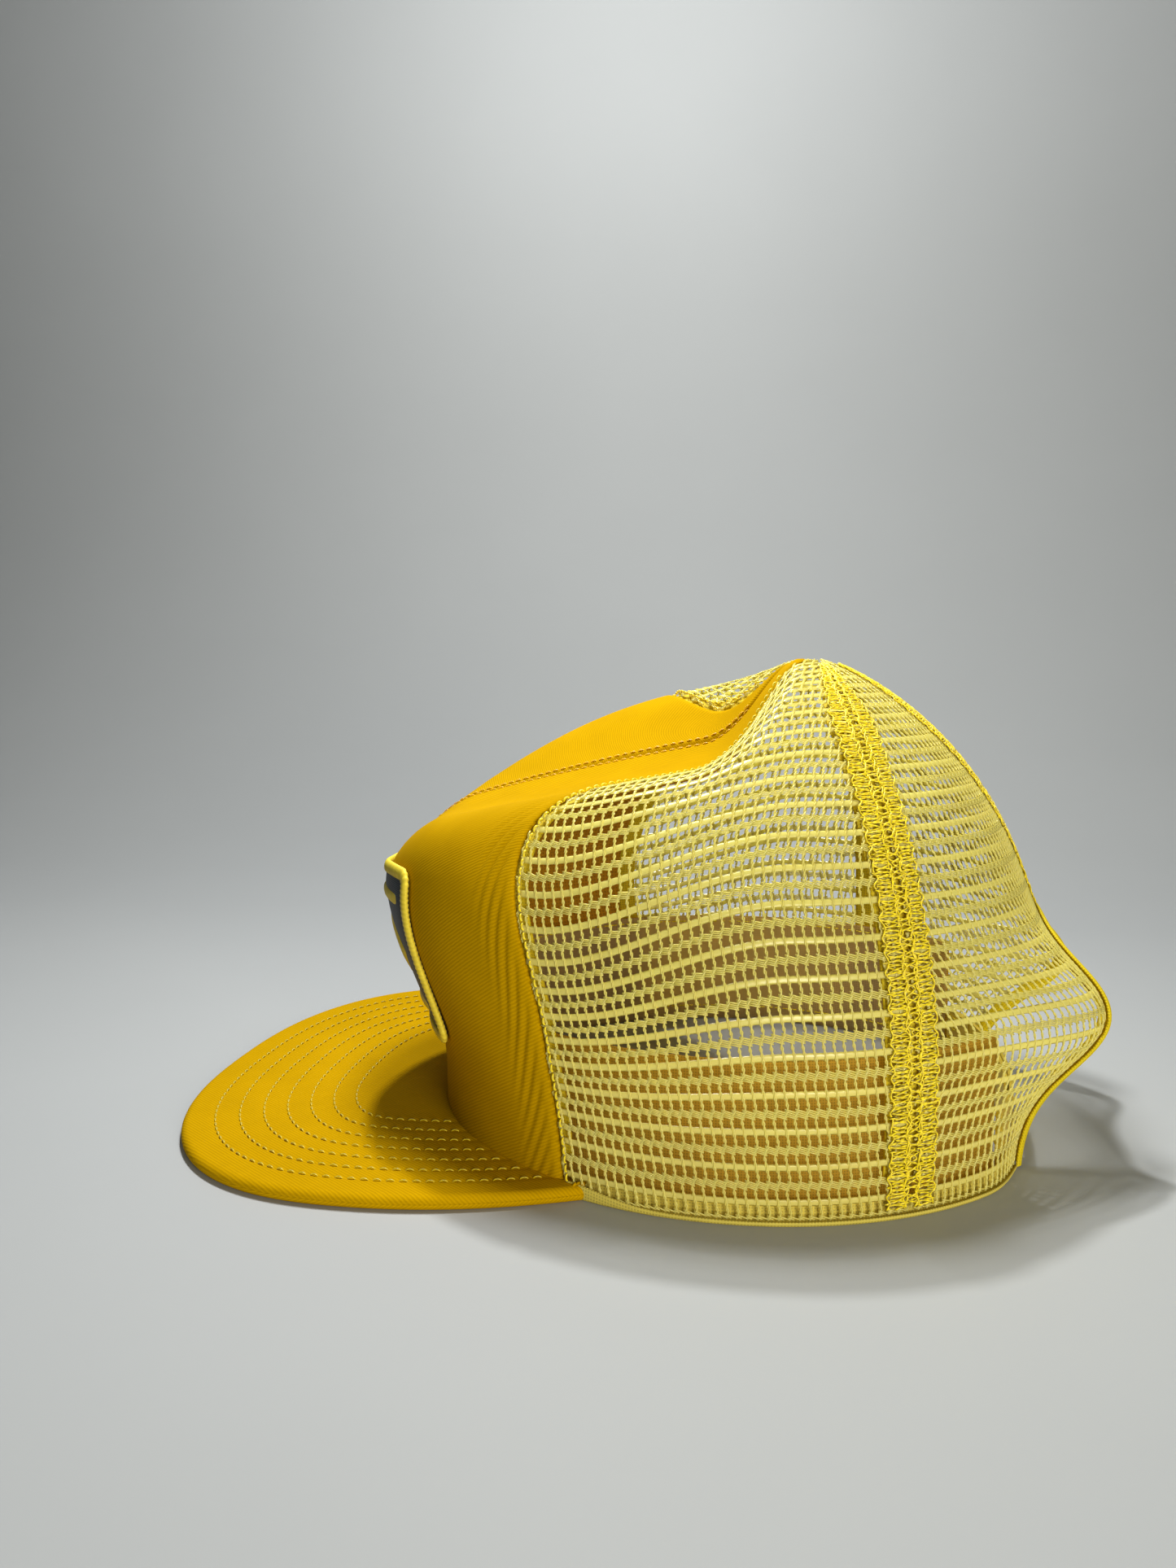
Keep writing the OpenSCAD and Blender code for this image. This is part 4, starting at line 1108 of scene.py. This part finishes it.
class OBJECT_OT_cap_hem(bpy.types.Operator):
    """Hem tape folded round the net's lower edge, and the sweatband inside"""

    bl_idname = "object.cap_hem"
    bl_label = "Hem and sweatband"

    def execute(self, context):
        colours = context.scene.cap_colours
        tape = woven_tape("Pale hem tape", colours.hem, thread=0.8)
        far = 180 - degrees_of("arch_half")
        for side, hand in ((1, "left"), (-1, "right")):
            phi = np.linspace(HEM_FROM, far, 220)[None]
            lift = HEM_LIFT + HEM_START * bell(phi - HEM_FROM, HEM_SPREAD)
            z = np.concatenate([np.array(HEM_UP)[:, None] + 0 * phi, 0.5 * lift + 0.6, lift])
            off = np.broadcast_to(np.array(HEM_OUT)[:, None], z.shape)
            points = at_height(rim(np.broadcast_to(phi, z.shape), off), z) * [side, 1, 1]
            sheet(f"hem_tape_{hand}", points[::-side], tape, HEM_T)
        cotton = woven_tape("Cotton sweatband", colours.band_outside, thread=0.7, through=0.7)
        inside = woven_tape("Sweatband lining", colours.band_inside, thread=0.7, through=0.7)
        tall = mm("band_height")
        end = far - turned(BAND_STOP, mm("head_length") / 2) + 2
        phi = np.linspace(-end, end, 300)[None]
        z = np.concatenate([np.linspace(0.6, tall - 1.2, 24), tall - np.array([0.5, 0.0])])[:, None]
        off = -BAND_IN + BAND_WAVE * np.sin(phi / 11) * smooth((z - 12) / 25)
        points = at_height(rim(np.broadcast_to(phi, off.shape), off), z)
        sheet("sweatband", points, cotton, BAND_CLOTH_T, inside=inside)
        thread = sewing_thread("Sweatband thread", colours.thread)
        phi = np.linspace(-end, end, 600)
        plan = rim(phi, -BAND_STITCH_IN)
        inward = at_height(unit(plan - rim(phi, 1 - BAND_STITCH_IN)), 0.0)
        rows = [stitch_mesh(at_height(plan, z), inward, *BAND_STITCH) for z in (5.4, tall - 2.0)]
        piece("sweatband_stitching", rows, thread)
        return {"FINISHED"}


# The binding's middle line: distance outside the arch's edge and height off the crown
BINDING_OFF, BINDING_H = 0.6, 0.5
# The folded binding's half width and half thickness, the angles where its fold starts and ends, its tape
BINDING_WIDE, BINDING_HIGH, BINDING_FOLD, BINDING_T = 2.3, 1.5, (35, 325), 0.5


class OBJECT_OT_cap_binding(bpy.types.Operator):
    """Tape bound round the edge of the rear opening"""

    bl_idname = "object.cap_binding"
    bl_label = "Arch binding"

    def execute(self, context):
        tape = woven_tape("Bright binding tape", context.scene.cap_colours.thread, thread=0.8)
        turn = np.linspace(0, 180, 181)
        half = degrees_of("arch_half") + turned(BINDING_OFF, mm("head_length") / 2)
        row = row_of_z(np.maximum(BASE_Z - 0.6, (mm("arch_height") + BINDING_OFF) * sind(turn)))
        phi = 180 - half * cosd(turn)
        centre, out = skin(phi, row, BINDING_H), crown_normal(phi, row)
        across = unit(np.cross(out, unit(np.gradient(centre, axis=0))))
        # The tape is folded over the net's edge and leaves the net's side of the fold open
        fold = np.linspace(*BINDING_FOLD, 15)[:, None, None]
        points = centre + BINDING_WIDE * cosd(fold) * across + BINDING_HIGH * sind(fold) * out
        sheet("arch_binding", points, tape, BINDING_T)
        return {"FINISHED"}


# Rows of thread through a strap's sewn end, their distance from its thread's box, and their stitches
STRAP_ROWS, STRAP_EDGE, STRAP_STITCH = 4, 0.35, (2.6, 0.4, 0.3)


class OBJECT_OT_cap_straps(bpy.types.Operator):
    """Plastic snap straps, and the thread that holds their sewn ends"""

    bl_idname = "object.cap_straps"
    bl_label = "Snap straps"

    def execute(self, context):
        colours = context.scene.cap_colours
        plastic = moulded_plastic("Moulded strap plastic", colours.plastic, 0.34)
        plastic_finish(plastic, "snap_strap_holes", "snap_strap_pegs", "strap_end_left", "strap_end_right")
        thread = sewing_thread("Strap thread", colours.thread)
        for hand in ("left", "right"):
            name = f"strap_stitches_{hand}"
            low, high = (np.array(v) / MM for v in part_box(name))
            middle = (low + high) / 2
            inward = unit(np.array([[-middle[0], -middle[1], 0.0]]))
            points = np.array([v.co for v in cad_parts[name].data.vertices]) / MM
            rows = []
            for z in np.linspace(low[2] + STRAP_EDGE, high[2] - STRAP_EDGE, STRAP_ROWS):
                near = points[np.abs(points[:, 2] - z) < 1.0]
                order = near[np.argsort(near[:, 0])]
                ends = np.array([order[:4].mean(0), order[-4:].mean(0)])
                ends[:, 2] = z
                line = ends[0] + (ends[1] - ends[0]) * np.linspace(0, 1, 40)[:, None]
                rows.append(stitch_mesh(line, np.broadcast_to(inward, line.shape), *STRAP_STITCH))
            piece(name, rows, thread)
        return {"FINISHED"}


# The sweep in millimetres: near end of the floor, the wall, the curve between, its top and half its width
FLOOR_X, WALL_X, SWEEP_ROUND, SWEEP_TOP, SWEEP_HALF = 1500.0, -780.0, 520.0, 1500.0, 1800
# Lamps: name, size in metres, power in watts, colour and place in metres
KEY_LAMP = ("Key lamp", 0.025, 16.0, (1.0, 1.0, 1.0), (-0.25, -0.14, 0.76))
# A small panel overhead lights the top, and a broad, warmer one behind the camera lights the near side
PANEL_LAMPS = (
    ("Top panel", 0.1, 1.35, (1.0, 1.0, 1.0), (-0.02, -0.06, 0.42)),
    ("Front panel", 0.4, 5.4, (1.0, 0.95, 0.82), (0.72, 0.36, 0.18)),
)
LAMP_AIM = Vector((0.0, 0.0, 0.05))
ROOM_LIGHT, ROOM_STRENGTH = (0.92, 0.96, 1.0, 1.0), 0.08
# The photograph's camera: its place, how far it looks down and to the front, and its lens
EYE, EYE_DOWN, EYE_TURN, EYE_LENS, EYE_SENSOR = (0.3595, 0.015, 0.136), 6.0, 9.9, 27.03, 36.0


class OBJECT_OT_cap_stage(bpy.types.Operator):
    """Pale paper sweep, soft studio light and the camera"""

    bl_idname = "object.cap_stage"
    bl_label = "Stage"

    def execute(self, context):
        scene = context.scene
        # Floor towards the camera, a wide curve behind the cap, and the wall above it
        bend = np.linspace(0, 90, 13)
        x = [FLOOR_X, 600, 200, 0, *(WALL_X + SWEEP_ROUND - SWEEP_ROUND * sind(bend)), WALL_X, WALL_X]
        z = [0, 0, 0, 0, *(SWEEP_ROUND - SWEEP_ROUND * cosd(bend)), 600, SWEEP_TOP]
        across = np.linspace(-SWEEP_HALF, SWEEP_HALF, 13)[:, None]
        points = np.stack(np.broadcast_arrays(np.array(x), across, np.array(z)), axis=-1)
        mesh = grid_mesh(points[:, ::-1], cloth_uv(points))
        mesh.polygons.foreach_set("use_smooth", np.ones(len(mesh.polygons), bool))
        mesh.materials.append(matte_paper("Pale paper sweep", scene.cap_colours.paper))
        sweep = bpy.data.objects.new("paper_sweep", mesh)
        scene.collection.objects.link(sweep)

        world = bpy.data.worlds.new("Soft room light")
        world.use_nodes = True
        background = world.node_tree.nodes["Background"]
        background.inputs["Color"].default_value = ROOM_LIGHT
        background.inputs["Strength"].default_value = ROOM_STRENGTH
        scene.world = world
        for name, size, power, tint, place in (KEY_LAMP, *PANEL_LAMPS):
            lamp = bpy.data.lights.new(name, "AREA" if "panel" in name else "POINT")
            lamp.energy, lamp.color = power, tint
            if lamp.type == "AREA":
                lamp.shape, lamp.size = "DISK", size
            else:
                lamp.shadow_soft_size = size
            light = bpy.data.objects.new(name, lamp)
            light.location = place
            light.rotation_mode = "QUATERNION"
            light.rotation_quaternion = (LAMP_AIM - light.location).to_track_quat("-Z", "Y")
            scene.collection.objects.link(light)

        camera = bpy.data.cameras.new("Photo camera")
        camera.sensor_fit, camera.sensor_height, camera.lens = "VERTICAL", EYE_SENSOR, EYE_LENS
        camera.clip_start = 0.01
        down, turn = math.radians(EYE_DOWN), math.radians(EYE_TURN)
        level = math.cos(down)
        forward = Vector((-level * math.cos(turn), -level * math.sin(turn), -math.sin(down)))
        eye = bpy.data.objects.new("Photo camera", camera)
        eye.location = EYE
        eye.rotation_mode = "QUATERNION"
        eye.rotation_quaternion = forward.to_track_quat("-Z", "Y")
        scene.collection.objects.link(eye)
        scene.camera = eye
        scene.view_settings.view_transform = "Standard"
        return {"FINISHED"}


class VIEW3D_PT_cap(bpy.types.Panel):
    """Lists the cap's building steps"""

    bl_idname = "VIEW3D_PT_cap"
    bl_label = "Mesh-back cap"
    bl_space_type = "VIEW_3D"
    bl_region_type = "UI"
    bl_category = "Cap"

    def draw(self, context):
        column = self.layout.column()
        for step in STEPS:
            column.operator(step.bl_idname)
        for group in (context.scene.cap_sizes, context.scene.cap_net, context.scene.cap_colours):
            for key in group.__annotations__:
                column.prop(group, key)


STEPS = (
    OBJECT_OT_cap_stage,
    OBJECT_OT_cap_front,
    OBJECT_OT_cap_net,
    OBJECT_OT_cap_seams,
    OBJECT_OT_cap_patch,
    OBJECT_OT_cap_visor,
    OBJECT_OT_cap_hem,
    OBJECT_OT_cap_binding,
    OBJECT_OT_cap_straps,
)
GROUPS = (CapSizes, CapNet, CapColours)


def register():
    for kind in (*GROUPS, *STEPS, VIEW3D_PT_cap):
        bpy.utils.register_class(kind)
    bpy.types.Scene.cap_sizes = bpy.props.PointerProperty(type=CapSizes)
    bpy.types.Scene.cap_net = bpy.props.PointerProperty(type=CapNet)
    bpy.types.Scene.cap_colours = bpy.props.PointerProperty(type=CapColours)


def unregister():
    del bpy.types.Scene.cap_sizes, bpy.types.Scene.cap_net, bpy.types.Scene.cap_colours
    for kind in reversed((*GROUPS, *STEPS, VIEW3D_PT_cap)):
        bpy.utils.unregister_class(kind)


def main():
    register()
    bpy.ops.object.cap_stage()
    bpy.ops.object.cap_front()
    bpy.ops.object.cap_net()
    bpy.ops.object.cap_seams()
    bpy.ops.object.cap_patch()
    bpy.ops.object.cap_visor()
    bpy.ops.object.cap_hem()
    bpy.ops.object.cap_binding()
    bpy.ops.object.cap_straps()


if __name__ == "__main__":
    main()
